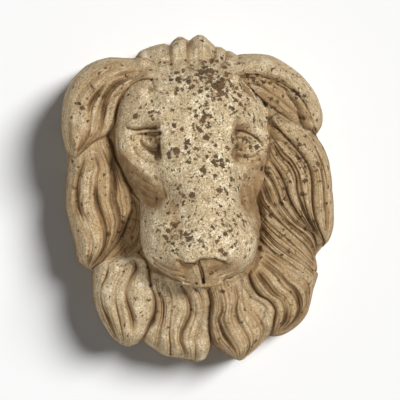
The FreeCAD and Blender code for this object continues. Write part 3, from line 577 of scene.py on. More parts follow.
head = {
    "cells": 300,            # of its mesh, each way
    "step": 0.8,             # of the height map, which covers this area:
    "area": (-126, 116, -124, 196),                     # left, right, bottom, top
    "roll": 9.0,             # rounding at its outline
    "sunk": 13.0,            # its edge ends this far below the hair around it
    "thick": 10.0,           # of the shell
    "netLeft": -112.0, "netTop": 185.0, "netStepX": 14.0, "netStepZ": 15.0,
    "net": [
        (50, 60, 70, 78, 84, 88, 90, 92, 92, 92, 90, 86, 80, 72, 62, 52),
        (60, 76, 88, 97, 103, 107, 110, 111, 112, 111, 109, 104, 97, 87, 74, 60),
        (68, 88, 101, 110, 116, 120, 122, 123, 124, 123, 121, 117, 110, 99, 84, 66),
        (74, 97, 110, 119, 125, 129, 131, 132, 133, 132, 130, 126, 119, 108, 92, 72),
        (88, 106, 117, 125, 131, 135, 137, 138, 139, 138, 136, 133, 126, 114, 98, 80),
        (97, 111, 121, 129, 136, 140, 141, 142, 142, 142, 141, 138, 130, 118, 104, 86),
        (99, 113, 122, 129, 137, 143, 144, 145, 145, 145, 144, 141, 131, 118, 106, 90),
        (98, 112, 119, 125, 134, 145, 147, 148, 148, 148, 147, 143, 130, 116, 105, 90),
        (96, 110, 118, 123, 131, 146, 150, 151, 151, 151, 150, 145, 128, 114, 104, 88),
        (84, 104, 120, 126, 131, 144, 151, 154, 155, 154, 153, 147, 128, 113, 102, 84),
        (60, 88, 112, 124, 130, 142, 150, 156, 158, 158, 156, 149, 130, 111, 98, 78),
        (50, 68, 98, 114, 123, 137, 149, 157, 161, 162, 160, 152, 130, 106, 90, 72),
        (44, 52, 84, 101, 113, 132, 149, 160, 166, 167, 165, 157, 132, 100, 84, 66),
        (40, 46, 68, 94, 112, 140, 157, 167, 172, 174, 171, 163, 145, 106, 82, 60),
        (40, 50, 92, 134, 150, 161, 169, 175, 179, 180, 178, 172, 163, 138, 94, 60),
        (40, 50, 98, 141, 157, 168, 176, 182, 186, 187, 184, 179, 171, 157, 118, 64),
        (40, 50, 98, 142, 159, 171, 180, 188, 192, 193, 190, 184, 175, 160, 124, 64),
        (40, 48, 90, 136, 155, 169, 181, 192, 197, 198, 195, 186, 173, 155, 116, 62),
        (40, 46, 72, 118, 144, 162, 176, 187, 191, 192, 189, 179, 163, 140, 96, 58),
        (40, 44, 56, 88, 120, 145, 164, 176, 181, 181, 176, 163, 142, 106, 70, 52),
        (40, 42, 46, 58, 84, 118, 146, 160, 164, 162, 154, 134, 102, 68, 54, 46),
    ],
    "outline": [
        (0, 188), (-50, 182), (-86, 162), (-104, 132), (-109, 108), (-112, 82), (-110, 63), (-105, 48),
        (-98, 33), (-90, 18), (-85, 6), (-80, -5), (-78, -20), (-77.5, -50), (-74, -70), (-65, -86),
        (-50, -99), (-32, -108), (-12, -113), (7, -116), (30, -111), (50, -104), (65, -96), (76, -82),
        (80, -68), (81, -50), (82, -39), (87, -28), (92, -10), (95, 12), (97, 32), (98, 48), (98, 64),
        (99, 88), (98, 110), (91, 131), (76, 145), (62, 158), (44, 178), (0, 188),
    ],
    # swellings and hollows: middle, half sizes, height
    "spots": [
        (-66, 76, 22, 12, -5), (-61, 75, 10.5, 6.5, 10), (-52, 57, 5, 9, -6),
        (64, 76, 18, 13, -5), (58, 76, 11, 7.5, 8), (52, 54, 6, 9, -7),
        (-60, -20, 18, 14, 4), (30, -93, 15, 9, -6), (-12, -90, 10, 6, -4), (-47, -38, 12, 26, 2),
    ],
    # ridges and grooves: points, half width, height, share over which each end fades
    "strokes": [
        ([(-108, 64), (-91, 48), (-77, 36), (-64, 30), (-52, 26)], 5, 4.5, 0.2),
        ([(-88, 10), (-80, -1), (-67, -8), (-56, -11), (-46, -14)], 4.5, -2.2, 0.3),
        ([(-49, 30), (-46, 14), (-43, 2), (-41, -8)], 6, -2.5, 0.3),
        ([(-38, 16), (-30, -9), (-29, -30), (-33, -48), (-27, -62)], 9, -3, 0.3),
        ([(54, 42), (53, 22), (58, 2), (61, -12), (69, -21), (77, -36)], 4.5, -3.2, 0.25),
        ([(90, 70), (84, 50), (72, 38), (62, 28)], 7, 4, 0.2),
        ([(-64, 158), (-60, 140), (-57, 122), (-54, 106)], 7, -3.5, 0.3),
        ([(-98, 100), (-88, 97), (-72, 98), (-54, 98)], 5, 3.5, 0.25),
        ([(-97, 93.5), (-84, 89.5), (-71, 91), (-51, 92)], 1.7, -4.2, 0.12),
        ([(-94, 91), (-82, 86.8), (-67, 87.6), (-49, 88)], 1.6, 3.4, 0.12),
        ([(-84, 84.4), (-74, 84.0), (-64, 84.4), (-48, 84.2)], 1.3, -3.0, 0.15),
        ([(-67, 84), (-56, 84), (-47, 84)], 1.9, -6.5, 0.12),
        ([(-74, 81), (-70, 73.5), (-61, 69), (-49, 69.5)], 1.7, 2.8, 0.12),
        ([(-76, 77), (-72, 69), (-64, 64), (-52, 62)], 1.8, -4.2, 0.15),
        ([(-81, 72), (-74, 62.5), (-64, 57), (-53, 55)], 2.1, 3.2, 0.2),
        ([(-86, 68), (-78, 56), (-66, 49), (-54, 46)], 2.2, -2.8, 0.2),
        ([(49, 99), (62, 98), (78, 93), (92, 82)], 4.5, 3, 0.25),
        ([(49, 88), (60, 88), (71, 84), (81, 77), (90, 68)], 1.7, -4.0, 0.12),
        ([(49, 83.5), (60, 83.5), (70, 80), (79, 72)], 1.9, 3.0, 0.15),
        ([(49, 79), (58, 79), (66, 76), (74, 69)], 1.3, -3.0, 0.15),
        ([(51, 62), (60, 59), (70, 60), (78, 66)], 1.9, 2.4, 0.15),
        ([(50, 57), (62, 53.5), (76, 56), (85, 64)], 1.8, -2.6, 0.2),
        ([(50, 48), (62, 45), (74, 47), (84, 54)], 2.4, -1.8, 0.2),
        ([(-27, -62), (-27, -70), (-22, -77), (-14, -80)], 2.0, -2.2, 0.25),
        ([(0, -80), (3, -87), (6, -97), (8, -112)], 2.1, -7, 0.06),
        ([(-64, -72), (-52, -83), (-36, -91), (-18, -96)], 1.6, -2.8, 0.2),
        ([(-62, -80), (-48, -91), (-32, -99), (-12, -104)], 1.7, -3.4, 0.15),
        ([(-60, -87), (-45, -99), (-28, -106), (-8, -110)], 1.6, -3.2, 0.15),
        ([(22, -102), (36, -99), (50, -93), (62, -84)], 1.6, -2.2, 0.2),
        ([(18, 58), (28, 56), (38, 57)], 0.9, -0.9, 0.2),
        ([(54, 154), (70, 138), (83, 121), (91, 104)], 1.5, -1.6, 0.25),
        ([(50, 148), (66, 133), (78, 117), (86, 101)], 1.5, -1.5, 0.3),
        ([(47, 142), (61, 129), (73, 114), (81, 99)], 1.4, -1.3, 0.25),
        ([(45, 135), (57, 124), (68, 110), (75, 99)], 1.4, -1.2, 0.3),
        ([(-103, 42), (-92, 24), (-80, 10), (-66, 1), (-54, -3)], 1.4, -1.2, 0.2),
        ([(-98, 46), (-87, 29), (-75, 16), (-62, 8), (-52, 5)], 1.4, -1.1, 0.25),
        ([(-94, 50), (-83, 34), (-71, 23), (-58, 15), (-50, 12)], 1.3, -1.0, 0.2),
        ([(-47, 26), (-44, 12), (-41, 0), (-40, -12)], 1.4, -1.1, 0.2),
        ([(-41, 24), (-38, 10), (-36, -4), (-36, -18)], 1.4, -1.0, 0.25),
        ([(46, 112), (60, 116), (74, 112)], 3.0, -1.6, 0.3),
    ],
    # where the lichen stands: middle, half sizes, thickness
    "lichen": [
        (24, 160, 54, 22, 0.74), (-16, 164, 40, 22, 0.42), (16, 184, 40, 16, 0.44), (45, 128, 46, 26, 0.48),
        (0, 84, 44, 44, 0.58), (4, 20, 40, 40, 0.58),
        (4, -44, 60, 34, 0.58), (40, -46, 34, 28, 0.34), (4, 112, 46, 30, 0.27),
        (-34, -56, 14, 16, 0.35), (66, 68, 30, 30, 0.40), (118, 150, 50, 45, 0.26),
        (-80, 120, 24, 34, 0.20), (132, 20, 60, 90, 0.20), (118, 52, 34, 50, 0.14), (110, -78, 40, 30, 0.16),
        (40, -130, 40, 26, 0.14), (-130, 146, 34, 44, 0.16), (150, 40, 34, 70, 0.10),
    ],
    # brown marks, mostly painted shade (under the nose and the cheek, the lid gaps, the philtrum and lip
    # lines) with some stain: points, half width, strength
    "shadeAndStainLines": [
        ([(-98, 46), (-86, 26), (-74, 12), (-62, 4)], 14, 0.84),
        ([(-66, 8), (-52, 2)], 11, 0.68),
        ([(88, 28), (86, 12)], 10, 0.80),
        ([(-86, 8), (-78, -2), (-66, -8), (-52, -11)], 6, 0.36),
        ([(84, 42), (80, 22), (76, 4), (80, -14), (92, -34)], 15, 0.62),
        ([(98, 40), (96, 16), (98, -8), (100, -30)], 15, 0.62),
        ([(60, 16), (60, 2), (62, -12), (69, -21), (76, -34), (80, -46)], 4.5, 0.45),
        ([(56, 102), (56, 76), (57, 50)], 8, 0.42),
        ([(60, 96), (70, 90)], 8, 0.30),
        ([(-51, 70), (-50, 60), (-49, 54)], 2.6, 1.15),
        ([(-54, 74), (-53, 73)], 3.0, 0.70),
        ([(-68, 84.3), (-48, 84)], 2.1, 1.45),
        ([(-94, 92.5), (-84, 90), (-71, 91), (-51, 92)], 1.5, 0.40),
        ([(-75, 75), (-71, 68.5), (-64, 64), (-52, 62)], 1.4, 0.75),
        ([(60, 88), (71, 84), (81, 77), (90, 68)], 1.5, 0.45),
        ([(52, 57), (62, 53.5), (76, 56), (84, 63)], 1.4, 0.40),
        ([(0, -82), (3, -87), (6, -97), (8, -110)], 2.5, 1.60),
        ([(-22, -88), (-8, -91), (0, -93)], 7.5, 0.50),
        ([(8, -85), (22, -88), (38, -91)], 9, 0.60),
        ([(16, -92), (30, -92)], 7, 0.78),
        ([(-30, -94), (0, -99), (26, -99), (44, -92)], 12, 0.52),
        ([(4, -77), (20, -78), (32, -80.5)], 1.5, 0.45),
        ([(-25, -80), (-18, -83.5), (-8, -84.5), (0, -83.5)], 2.2, 1.35),
        ([(-50, -96), (-30, -105), (-8, -110), (8, -113)], 5, 0.45),
        ([(26, -108), (40, -104), (52, -99)], 4, 0.34),
        ([(-17, -83), (-3, -84)], 1.6, 0.35),
        ([(-58, -78), (-50, -85), (-36, -91.5), (-20, -96)], 1.5, 0.75),
        ([(-56, -86), (-46, -93), (-32, -99.5), (-14, -104)], 1.6, 0.85),
        ([(-54, -93), (-44, -100), (-28, -106.5), (-10, -110)], 1.6, 0.80),
        ([(-31, -12), (-29, -32), (-28, -48)], 9, 0.26),
    ],
    # steps beside the bridge of the nose: side, edge, drop; and where they begin and end, with their fades
    "bridge": [(-1, 50.0, 15.0), (1, 47.5, 13.5)],
    "bridgeSpan": (40, 24, 106, 18),
    # the nose: left, right, lower edge, its step up right of the middle, depth below it
    "nose": (-27.0, 51.0, -82.0, 6.5, 8.5),
    # the mouth: middle and half width of its opening, top, height of the lip's back
    "mouth": (6.0, 25.0, -80.0, 156.0),
    "grain": [(0.7, 9, 1), (0.35, 4, 2)],               # unevenness of the stone: height, size, seed
    # painted shade in the crevices: how far a point lies below its blurred surroundings darkens it
    "cavity": [(0.55, 3.0), (0.16, 9.0)],               # what counts as a crevice: share, width compared
    "cavityShare": 0.55,
}


def bareHead(x, z):
    # cubic spline over the net, with steps beside the bridge of the nose and bell-shaped spots
    net = np.pad(np.array(head["net"], float), ((1, 2), (1, 2)), mode="edge")
    u = np.clip((x - head["netLeft"]) / head["netStepX"], 0, len(head["net"][0]) - 1.001)
    v = np.clip((head["netTop"] - z) / head["netStepZ"], 0, len(head["net"]) - 1.001)
    i, j = u.astype(int), v.astype(int)
    across, down = splineWeights(u - i), splineWeights(v - j)
    h = sum(down[a] * across[b] * net[j + a, i + b] for a in range(4) for b in range(4))
    low, lowFade, high, highFade = head["bridgeSpan"]
    level = smooth((z - low) / lowFade) * smooth((high - z) / highFade)
    for side, edge, drop in head["bridge"]:
        # the edge leans a little and wanders; beyond it the cheek rises back over 40 mm
        out = side * x - edge - 0.02 * (z - 75) * side + 2.0 * lumps(z, 70.0 * side + 0 * z, 13, 4)
        h = h - drop * level * smooth((out + 4) / 9) * (1 - smooth((out - 6) / 40))
    for cx, cz, rx, rz, size in head["spots"]:
        h = h + size * np.exp(-((x - cx) / rx) ** 2 - ((z - cz) / rz) ** 2)
    return h


def softAt(x, z):
    # how softly the head runs out: 1 at the ear, less at the jaw beside the right mane
    ear = smooth((x - 48) / 22) * smooth((z - 88) / 20)
    jaw = smooth((x - 66) / 8) * smooth((z + 46) / 14) * smooth((52 - z) / 14)
    return np.maximum(ear, 0.25 * jaw)


def rimAt(x, z):
    # height at which the head's edge ends: just inside the hair, but at the lip's back over the mouth
    sunk = head["sunk"] * (1 - 0.6 * softAt(x, z))
    low = np.maximum(np.minimum(hairHeight(x, z), bareHead(x, z)) - sunk, mask["least"])
    middle, half, top, lip = head["mouth"]
    opened = smooth((half + 5 - np.abs(x - middle)) / 5) * smooth((top - z) / 12)
    return low + (lip - low) * opened


def headMap():
    # heights on a square net: the bare head with strokes, the step at the nose's lower edge, and the
    # rounding at the outline
    left, right, bottom, top = head["area"]
    x, z = np.meshgrid(np.arange(left, right, head["step"]), np.arange(bottom, top, head["step"]))
    h = bareHead(x, z)
    for points, half, size, fade in head["strokes"]:
        p = np.array(points, float)
        first, last = p.min(0) - 3 * half, p.max(0) + 3 * half
        part = (x > first[0]) & (x < last[0]) & (z > first[1]) & (z < last[1])
        d, along = distanceTo(x[part], z[part], chain(points, 30))
        h[part] += size * smooth(along / fade) * smooth((1 - along) / fade) * np.exp(-(d / half) ** 2)
    left, right, lower, step, depth = head["nose"]
    # the nose's lower edge turns up at its left end and runs down again at its right end
    border = lower + step * smooth((x + 2) / 5) + 5 * smooth((-14 - x) / 10) - 6 * smooth((x - 22) / 20)
    under = smooth((border + 0.9 * lumps(x, z, 6, 12) - z) / 3.5)
    h = h - depth * smooth((x - left) / 11) * smooth((right - x) / 18) * under
    for size, width, seed in head["grain"]:
        h = h + size * lumps(x, z, width, seed)
    edge = distanceTo(x, z, chain(head["outline"], 200))[0]
    inside = np.hypot(x, z) < radiusAt(chain(head["outline"], 400)[:-1], x, z)
    roll = np.clip(edge / (head["roll"] + 14 * softAt(x, z)), 0, 1)
    low = rimAt(x, z)
    h = np.where(inside, low + (h - low) * np.sqrt(1 - (1 - roll) ** 2.4), low)
    return x, z, h


def splineWeights(t):
    # shares of the four nearest values of a net in a uniform cubic spline
    return [(1 - t) ** 3 / 6, (3 * t ** 3 - 6 * t * t + 4) / 6,
            (-3 * t ** 3 + 3 * t * t + 3 * t + 1) / 6, t ** 3 / 6]


def blurred(values, width):
    # mean over a bell of the given width, in cells
    reach = int(3 * width)
    bell = np.exp(-(np.arange(-reach, reach + 1) / width) ** 2)
    bell /= bell.sum()
    padded = np.pad(values, reach, mode="edge")
    rows = np.apply_along_axis(np.convolve, 1, padded, bell, mode="valid")
    return np.apply_along_axis(np.convolve, 0, rows, bell, mode="valid")


def sample(values, x0, z0, step, x, z):
    # value of a net at any point, straight between its cells
    u = np.clip((x - x0) / step, 0, values.shape[1] - 1.001)
    v = np.clip((z - z0) / step, 0, values.shape[0] - 1.001)
    i, j = u.astype(int), v.astype(int)
    a, b = u - i, v - j
    low = values[j, i] * (1 - a) + values[j, i + 1] * a
    return low * (1 - b) + (values[j + 1, i] * (1 - a) + values[j + 1, i + 1] * a) * b


def lichenAt(x, z):
    # how thick the lichen stands: most on the forehead, then on the bridge and the muzzle
    thick = np.full(x.shape, 0.10)
    for cx, cz, rx, rz, size in head["lichen"]:
        thick = thick + size * np.exp(-((x - cx) / rx) ** 2 - ((z - cz) / rz) ** 2)
    return np.clip(thick * (0.8 + 0.4 * lumps(x, z, 22, 5)), 0, 1)


def makeHead():
    # A square grid laid over the area inside the head's outline, with the height map above it: a ring
    # of the grid becomes a smaller copy of the outline.
    mapX, mapZ, heights = headMap()
    cavity = sum(share * (blurred(heights, width) - heights) for share, width in head["cavity"])
    s = np.linspace(-1, 1, head["cells"] + 1)
    a, b = np.meshgrid(s, s)
    wide = np.abs(a) >= np.abs(b)
    reach = np.where(wide, np.abs(a), np.abs(b))
    share = np.where(wide, b / np.where(a == 0, 1, a), a / np.where(b == 0, 1, b))
    angle = np.where(wide, math.pi / 4 * share + np.where(a < 0, math.pi, 0),
                     math.pi / 2 - math.pi / 4 * share + np.where(b < 0, math.pi, 0))
    radius = reach * radiusAt(chain(head["outline"], 400)[:-1], np.cos(angle), np.sin(angle))
    x, z = radius * np.cos(angle), radius * np.sin(angle)
    corner = mapX[0, 0], mapZ[0, 0], head["step"]
    h = np.where(reach == 1, rimAt(x, z), sample(heights, *corner, x, z))
    # painted shade in the crevices
    shadeAndStain = np.clip(sample(cavity, *corner, x, z) * head["cavityShare"], 0, 1)
    # painted shade with some stain: the brown marks darken the nose's underside, the lower cheek, the lids,
    # the philtrum and the lips, and make the stone there less pale
    brown = np.zeros(x.shape)
    for points, half, strength in head["shadeAndStainLines"]:
        d = distanceTo(x, z, chain(points, 24))[0]
        brown = np.maximum(brown, strength * smooth((1.6 - d / half) / 1.2))
    brown = brown * (0.85 + 0.3 * lumps(x, z, 9, 9) + 0.2 * lumps(x, z, 4, 8))
    shadedTemple = smooth((-x - 50) / 14) * smooth((z - 30) / 40)            # painted shade: the left temple, turned from the light, is kept less pale
    pale = np.clip(1.0 - 1.6 * brown - 0.3 * shadedTemple, 0, 1)
    spots = lichenAt(x, z) * (1 - 0.55 * np.clip(brown * 1.6, 0, 1))
    # red of the tint: painted crevice shade and the brown marks, above 1 in the darkest lines
    tint = np.stack([shadeAndStain + np.where(brown > 1, brown, brown * 0.8), spots, pale], -1)
    thickness = 1 + (head["thick"] - 1) * smooth((1 - reach) / 0.1)
    return shellMesh("lion_face", toFrame(x, z, h), thickness, 4, tint, stone)


lionFace = makeHead()
print("head made", len(lionFace.data.vertices))


# Locks of the mane: each is a set of lines from root to tip, with a strand between each two

groove = {
    "cut": 2.6, "cutWidth": 1.5,            # depth and half width of the narrow cut
    "valley": 3.8, "valleyWidth": 5.0,      # and of the valley round it
    "comb": (3.4, 4.7, 6.2),                # spacing of the fine lines
    "edgeDrop": 7.0, "edgeWidth": 8.0,      # rounding of a lock's sides
    "stand": 2.2,                           # of the locks on the stone
    "skirt": 16.0,                          # how far their sides go down into it
    "channel": (6.0, 33.0, -150.0, 43.0),   # hose channel, left open: middle, half width, top, height
    "across": 24, "rows": 190,              # columns of the mesh between two lines, rows along them
    "fadeOut": 0.10,                        # share of the length over which the grooves end
    "vary": (0.78, 0.75, 34),               # strength along a groove: mean, change, length of a change
    "lumps": [(0.9, 13, 0), (0.5, 5, 3)],   # unevenness: height, size, step of the seed
}
# Lines run from root to tip. Depth is that of the groove at each line, lift raises the whole lock and
# comb is how strong its fine lines are. What a lock has unless it says otherwise: start, the share of the
# length where the grooves begin; round, the drop at its sides; sink, how far the root goes into the stone,
# over the share reach of the length; rough, how uneven it is; painted shade at the sides (edge), darkness
# all over (dark) and painted shade at the root (rootDark); pale, how worn it is. Tone darkens single strands.
usualLock = {
    "start": 0.12, "round": groove["edgeDrop"], "edge": 0.6, "sink": 7.0, "reach": 0.07,
    "dark": 0.0, "rootDark": 0.0, "pale": 0.18, "rough": 1.0,
}
locks = {
    "lock_crown": {
        "lines": [
            [(-52, 132), (-64, 160), (-76, 180), (-85, 197)],
            [(-42, 134), (-52, 164), (-62, 188), (-66, 209)],
            [(-30, 136), (-36, 164), (-43, 190), (-47, 212)],
            [(-26, 136), (-31, 164), (-37, 190), (-39, 210)],
            [(-18, 136), (-22, 164), (-25, 190), (-26, 223)],
            [(-8, 136), (-11, 164), (-13, 190), (-13, 217)],
            [(2, 136), (1, 164), (2, 190), (3, 225)],
            [(8, 136), (10, 164), (13, 190), (15, 218)],
            [(14, 136), (18, 160), (22, 186), (25, 209)],
            [(19, 136), (25, 158), (30, 182), (33, 208)],
            [(23, 136), (30, 158), (37, 180), (40, 203)],
            [(29, 136), (40, 157), (51, 177), (57, 195)]],
        "depth": [0, 0.25, 0.35, 0.5, 0.25, 0.8, 0.25, 0.35, 0.7, 0.25, 0.6, 0], "lift": 0, "comb": 0.7,
        "sink": 3.0, "pale": 0.95, "reach": 0.25, "edge": 0.1, "whiteBelow": 206, "start": 0.62,
        "rough": 2.4},
    "lock_ear_rim": {
        "lines": [
            [(22, 168), (40, 188), (54, 197), (71, 199), (84, 199), (100, 197), (112, 192), (128, 182),
             (141, 172), (154, 158), (165, 141), (171, 124), (173, 113), (171, 100), (165, 91)],
            [(24, 156), (42, 172), (62, 178), (84, 180), (106, 173), (126, 160), (142, 146), (154, 130),
             (160, 114), (163, 100), (162, 92)],
            [(30, 146), (46, 158), (58, 164), (75, 165), (92, 162), (110, 155), (124, 146), (136, 136),
             (145, 126), (150, 113), (156, 98)]],
        "depth": [0, 0, 0], "lift": 4, "comb": 0.3, "pale": 0.55, "reach": 0.12, "edge": 0.25},
    "lock_ear_inside": {
        "lines": [
            [(54, 160), (70, 165), (88, 163), (106, 157), (122, 148), (134, 138), (143, 127), (151, 112),
             (157, 97)],
            [(62, 153), (82, 151), (102, 139), (118, 127), (130, 116), (142, 106), (156, 93)],
            [(70, 147), (84, 141), (99, 131), (112, 120), (124, 111), (138, 102), (157, 91)],
            [(72, 143), (80, 139), (95, 127), (106, 118), (118, 109), (128, 102), (140, 97), (158, 89)]],
        "depth": [0, 0.5, 0.6, 0], "lift": 7, "comb": 1.5, "edge": 0.35, "dark": 0.1},
    "lock_temple": {
        "lines": [
            [(86, 142), (98, 124), (112, 112), (124, 105), (136, 99), (150, 92), (163, 84), (171, 74),
             (180, 54), (184, 36), (186, 10), (188, -16), (188, -39), (182, -58), (175, -66)],
            [(92, 128), (104, 112), (122, 98), (142, 84), (157, 68), (166, 48), (170, 28), (172, 8),
             (173, -16), (174, -38), (175, -60)],
            [(94, 110), (106, 96), (118, 82), (132, 69), (142, 57), (151, 43), (155, 29), (156, 14),
             (156, -3), (159, -25), (165, -41), (173, -58)]],
        "depth": [0, 0.6, 0], "lift": 4, "comb": 1.3, "dark": 0.03, "pale": 0.42, "round": 4.5,
        "edge": 0.45},
    "lock_right_upper": {
        "lines": [
            [(96, 102), (106, 92), (117, 80), (131, 67), (140, 56), (149, 42), (153, 29), (154, 14),
             (154, -3), (157, -25), (163, -42), (170, -58)],
            [(94, 86), (102, 72), (112, 56), (124, 45), (132, 29), (134, 10), (139, -6), (148, -26),
             (158, -44), (168, -60)],
            [(93, 66), (98, 50), (108, 36), (116, 20), (122, 2), (130, -14), (144, -34), (156, -48),
             (166, -62)],
            [(90, 50), (91, 38), (100, 25), (108, 8), (113, -7), (121, -18), (133, -32), (146, -41),
             (157, -50), (164, -64)]],
        "depth": [0, 1.0, 0.8, 0], "lift": 2, "comb": 2.3, "dark": 0.06, "pale": 0.45, "edge": 0.3,
        "round": 4.0, "sink": 11.0, "reach": 0.12, "rootDark": 0.24},
    "lock_right_middle": {
        "lines": [
            [(88, 46), (89, 36), (98, 24), (106, 8), (111, -7), (119, -19), (131, -33), (144, -42),
             (155, -52), (161, -66), (162, -80)],
            [(84, 28), (90, 12), (97, -4), (108, -20), (118, -32), (132, -44), (146, -56), (156, -70),
             (161, -84)],
            [(80, 14), (84, 3), (88, -9), (99, -21), (106, -28), (116, -37), (129, -48), (138, -56),
             (147, -65), (154, -75), (160, -87)]],
        "depth": [0, 0.6, 0], "lift": 1, "comb": 2.2, "dark": 0.1, "pale": 0.38, "edge": 0.3, "round": 3.5,
        "sink": 13.0, "reach": 0.18, "rootDark": 0.24},
    "lock_right_lower": {
        "lines": [
            [(80, 4), (86, -9), (97, -22), (104, -29), (114, -38), (127, -49), (136, -57), (145, -66),
             (153, -76), (161, -90)],
            [(80, -18), (90, -30), (104, -44), (118, -56), (132, -68), (145, -80), (154, -89), (162, -98)],
            [(80, -36), (92, -50), (106, -64), (120, -74), (133, -82), (146, -91), (154, -99), (163, -106)],
            [(80, -50), (90, -62), (100, -71), (113, -81), (124, -89), (135, -98), (148, -108),
             (162, -114)]],
        "depth": [0, 0.45, 0.8, 0], "lift": 3, "comb": 1.9, "dark": 0.1, "pale": 0.38, "edge": 0.3,
        "round": 3.5, "sink": 13.0, "reach": 0.2, "rootDark": 0.24},
    "lock_jaw_right": {
        "lines": [
            [(82, -56), (96, -67), (112, -79), (123, -87), (135, -96), (152, -102), (166, -106),
             (164, -118), (160, -130), (156, -147), (151, -162), (143, -173), (131, -183), (118, -190),
             (106, -192)],
            [(80, -66), (96, -80), (114, -92), (130, -104), (142, -114), (149, -128), (149, -144),
             (143, -158), (133, -171), (120, -181), (107, -190)],
            [(78, -78), (94, -92), (110, -104), (121, -116), (130, -124), (135, -134), (138, -144),
             (138, -154), (132, -167), (120, -178), (106, -189)],
            [(75, -90), (84, -106), (96, -121), (104, -130), (112, -135), (118, -144), (120, -154),
             (117, -168), (110, -180), (104, -189)],
            [(68, -98), (76, -118), (86, -131), (96, -138), (103, -146), (106, -155), (104, -168),
             (103, -180), (102, -190)]],
        "depth": [0, 0.4, 1.25, 1.1, 0], "lift": 2, "comb": 1.2, "dark": 0.05, "rootDark": 0.18},
    "lock_beard_right": {
        "lines": [
            [(12, -112), (17, -126), (20, -139), (18, -158), (18, -176), (20, -190), (25, -203), (38, -214),
             (54, -224)],
            [(24, -112), (30, -130), (33, -150), (28, -163), (31, -174), (36, -186), (43, -196), (51, -207),
             (57, -223)],
            [(44, -108), (50, -120), (54, -133), (51, -150), (54, -165), (60, -176), (67, -188), (70, -202),
             (62, -222)],
            [(56, -102), (59, -120), (61, -135), (66, -147), (74, -157), (83, -168), (88, -178), (85, -194),
             (68, -217)],
            [(64, -96), (70, -115), (80, -131), (92, -137), (101, -146), (104, -154), (102, -166),
             (101, -178), (96, -194), (76, -213)]],
        "depth": [0, 1.0, 0.9, 0.9, 0], "lift": 3, "comb": 1.0, "pale": 0.6, "rootDark": 0.16,
        "tone": [0.1, 0.14, 0.06, 0, 0]},
    "lock_beard_middle": {
        "lines": [
            [(-62, -92), (-62, -108), (-60, -122), (-56, -135), (-55, -150), (-58, -165), (-66, -178),
             (-72, -190), (-75, -199)],
            [(-50, -96), (-54, -112), (-53, -124), (-48, -134), (-46, -146), (-47, -163), (-51, -178),
             (-53, -194), (-56, -212)],
            [(-40, -100), (-41, -114), (-36, -126), (-34, -138), (-34, -150), (-36, -167), (-38, -185),
             (-37, -203), (-38, -220)],
            [(-24, -106), (-18, -122), (-12, -137), (-10, -150), (-12, -161), (-17, -171), (-22, -182),
             (-23, -194), (-18, -208), (-17, -223)],
            [(-8, -110), (0, -124), (6, -138), (7, -150), (6, -164), (2, -178), (-2, -190), (-2, -204),
             (-3, -226)],
            [(6, -110), (13, -124), (16, -139), (14, -158), (14, -176), (16, -190), (18, -203),
             (13, -219)]],
        "depth": [0, 0.75, 1.0, 1.0, 0.65, 0], "lift": 1, "comb": 0.8, "pale": 0.95},
    "lock_jaw_left": {
        "lines": [
            [(-128, -86), (-140, -94), (-145, -106), (-145, -125), (-143, -145), (-137, -162), (-128, -180),
             (-117, -195), (-104, -204)],
            [(-121, -82), (-121, -96), (-125, -110), (-130, -121), (-131, -134), (-128, -148), (-121, -163),
             (-115, -177), (-110, -190), (-102, -205)],
            [(-108, -78), (-101, -88), (-99, -99), (-105, -109), (-110, -121), (-111, -136), (-108, -152),
             (-104, -168), (-101, -186), (-99, -205)],
            [(-94, -74), (-85, -84), (-82, -95), (-88, -105), (-93, -115), (-96, -129), (-93, -144),
             (-89, -156), (-87, -170), (-88, -186), (-94, -204)],
            [(-76, -76), (-69, -84), (-66, -92), (-64, -104), (-61, -120), (-58, -134), (-58, -148),
             (-61, -161), (-67, -172), (-72, -185), (-82, -201)]],
        "depth": [0, 0.9, 0.8, 1.15, 0], "lift": 3, "comb": 0.8, "pale": 0.95},
    # under the cheek: its darkness (dark) is painted shade cast by the cheek above
    "lock_under_cheek": {
        "lines": [
            [(-98, 18), (-92, 2), (-90, -18), (-95, -32), (-103, -50), (-113, -66), (-125, -80),
             (-138, -93)],
            [(-90, 10), (-85, -8), (-83, -26), (-87, -42), (-95, -58), (-106, -72), (-122, -87)],
            [(-82, 2), (-78, -16), (-77, -34), (-80, -50), (-88, -64), (-99, -77), (-114, -90)],
            [(-72, -8), (-68, -28), (-68, -48), (-72, -64), (-81, -75), (-93, -84), (-106, -92)]],
        "depth": [0, 0.7, 0.8, 0], "lift": -2, "comb": 1.0, "dark": 0.42},
    "lock_cheek_left": {
        "lines": [
            [(-166, 66), (-176, 48), (-181, 28), (-183, 2), (-182, -17), (-178, -32), (-173, -51),
             (-169, -68), (-167, -84), (-160, -93), (-151, -98)],
            [(-154, 68), (-152, 50), (-157, 36), (-162, 20), (-163, 5), (-161, -14), (-156, -27),
             (-151, -41), (-145, -53), (-142, -64), (-144, -77), (-148, -90), (-149, -98)],
            [(-142, 72), (-136, 54), (-133, 38), (-137, 24), (-137, 6), (-135, -8), (-129, -25),
             (-125, -38), (-124, -52), (-126, -68), (-131, -78), (-140, -89), (-147, -98)],
            [(-130, 80), (-121, 58), (-114, 38), (-113, 20), (-113, -3), (-109, -16), (-107, -36),
             (-112, -56), (-121, -71), (-132, -84), (-145, -97)],
            [(-120, 88), (-118, 70), (-113, 52), (-104, 36), (-97, 22), (-90, 6), (-89, -16), (-94, -30),
             (-102, -50), (-110, -64), (-119, -75), (-128, -86), (-143, -97)]],
        "depth": [0, 1.0, 1.1, 1.1, 0], "lift": 2, "comb": 0.9, "dark": 0.02,
        "tone": [0, 0, 0, 0.12, 0.28]},
    "lock_temple_left": {
        "lines": [
            [(-40, 172), (-62, 184), (-78, 189), (-92, 191), (-104, 193), (-121, 194), (-138, 190),
             (-155, 182), (-173, 164), (-184, 142), (-188, 112), (-188, 95), (-185, 78), (-177, 62),
             (-166, 53)],
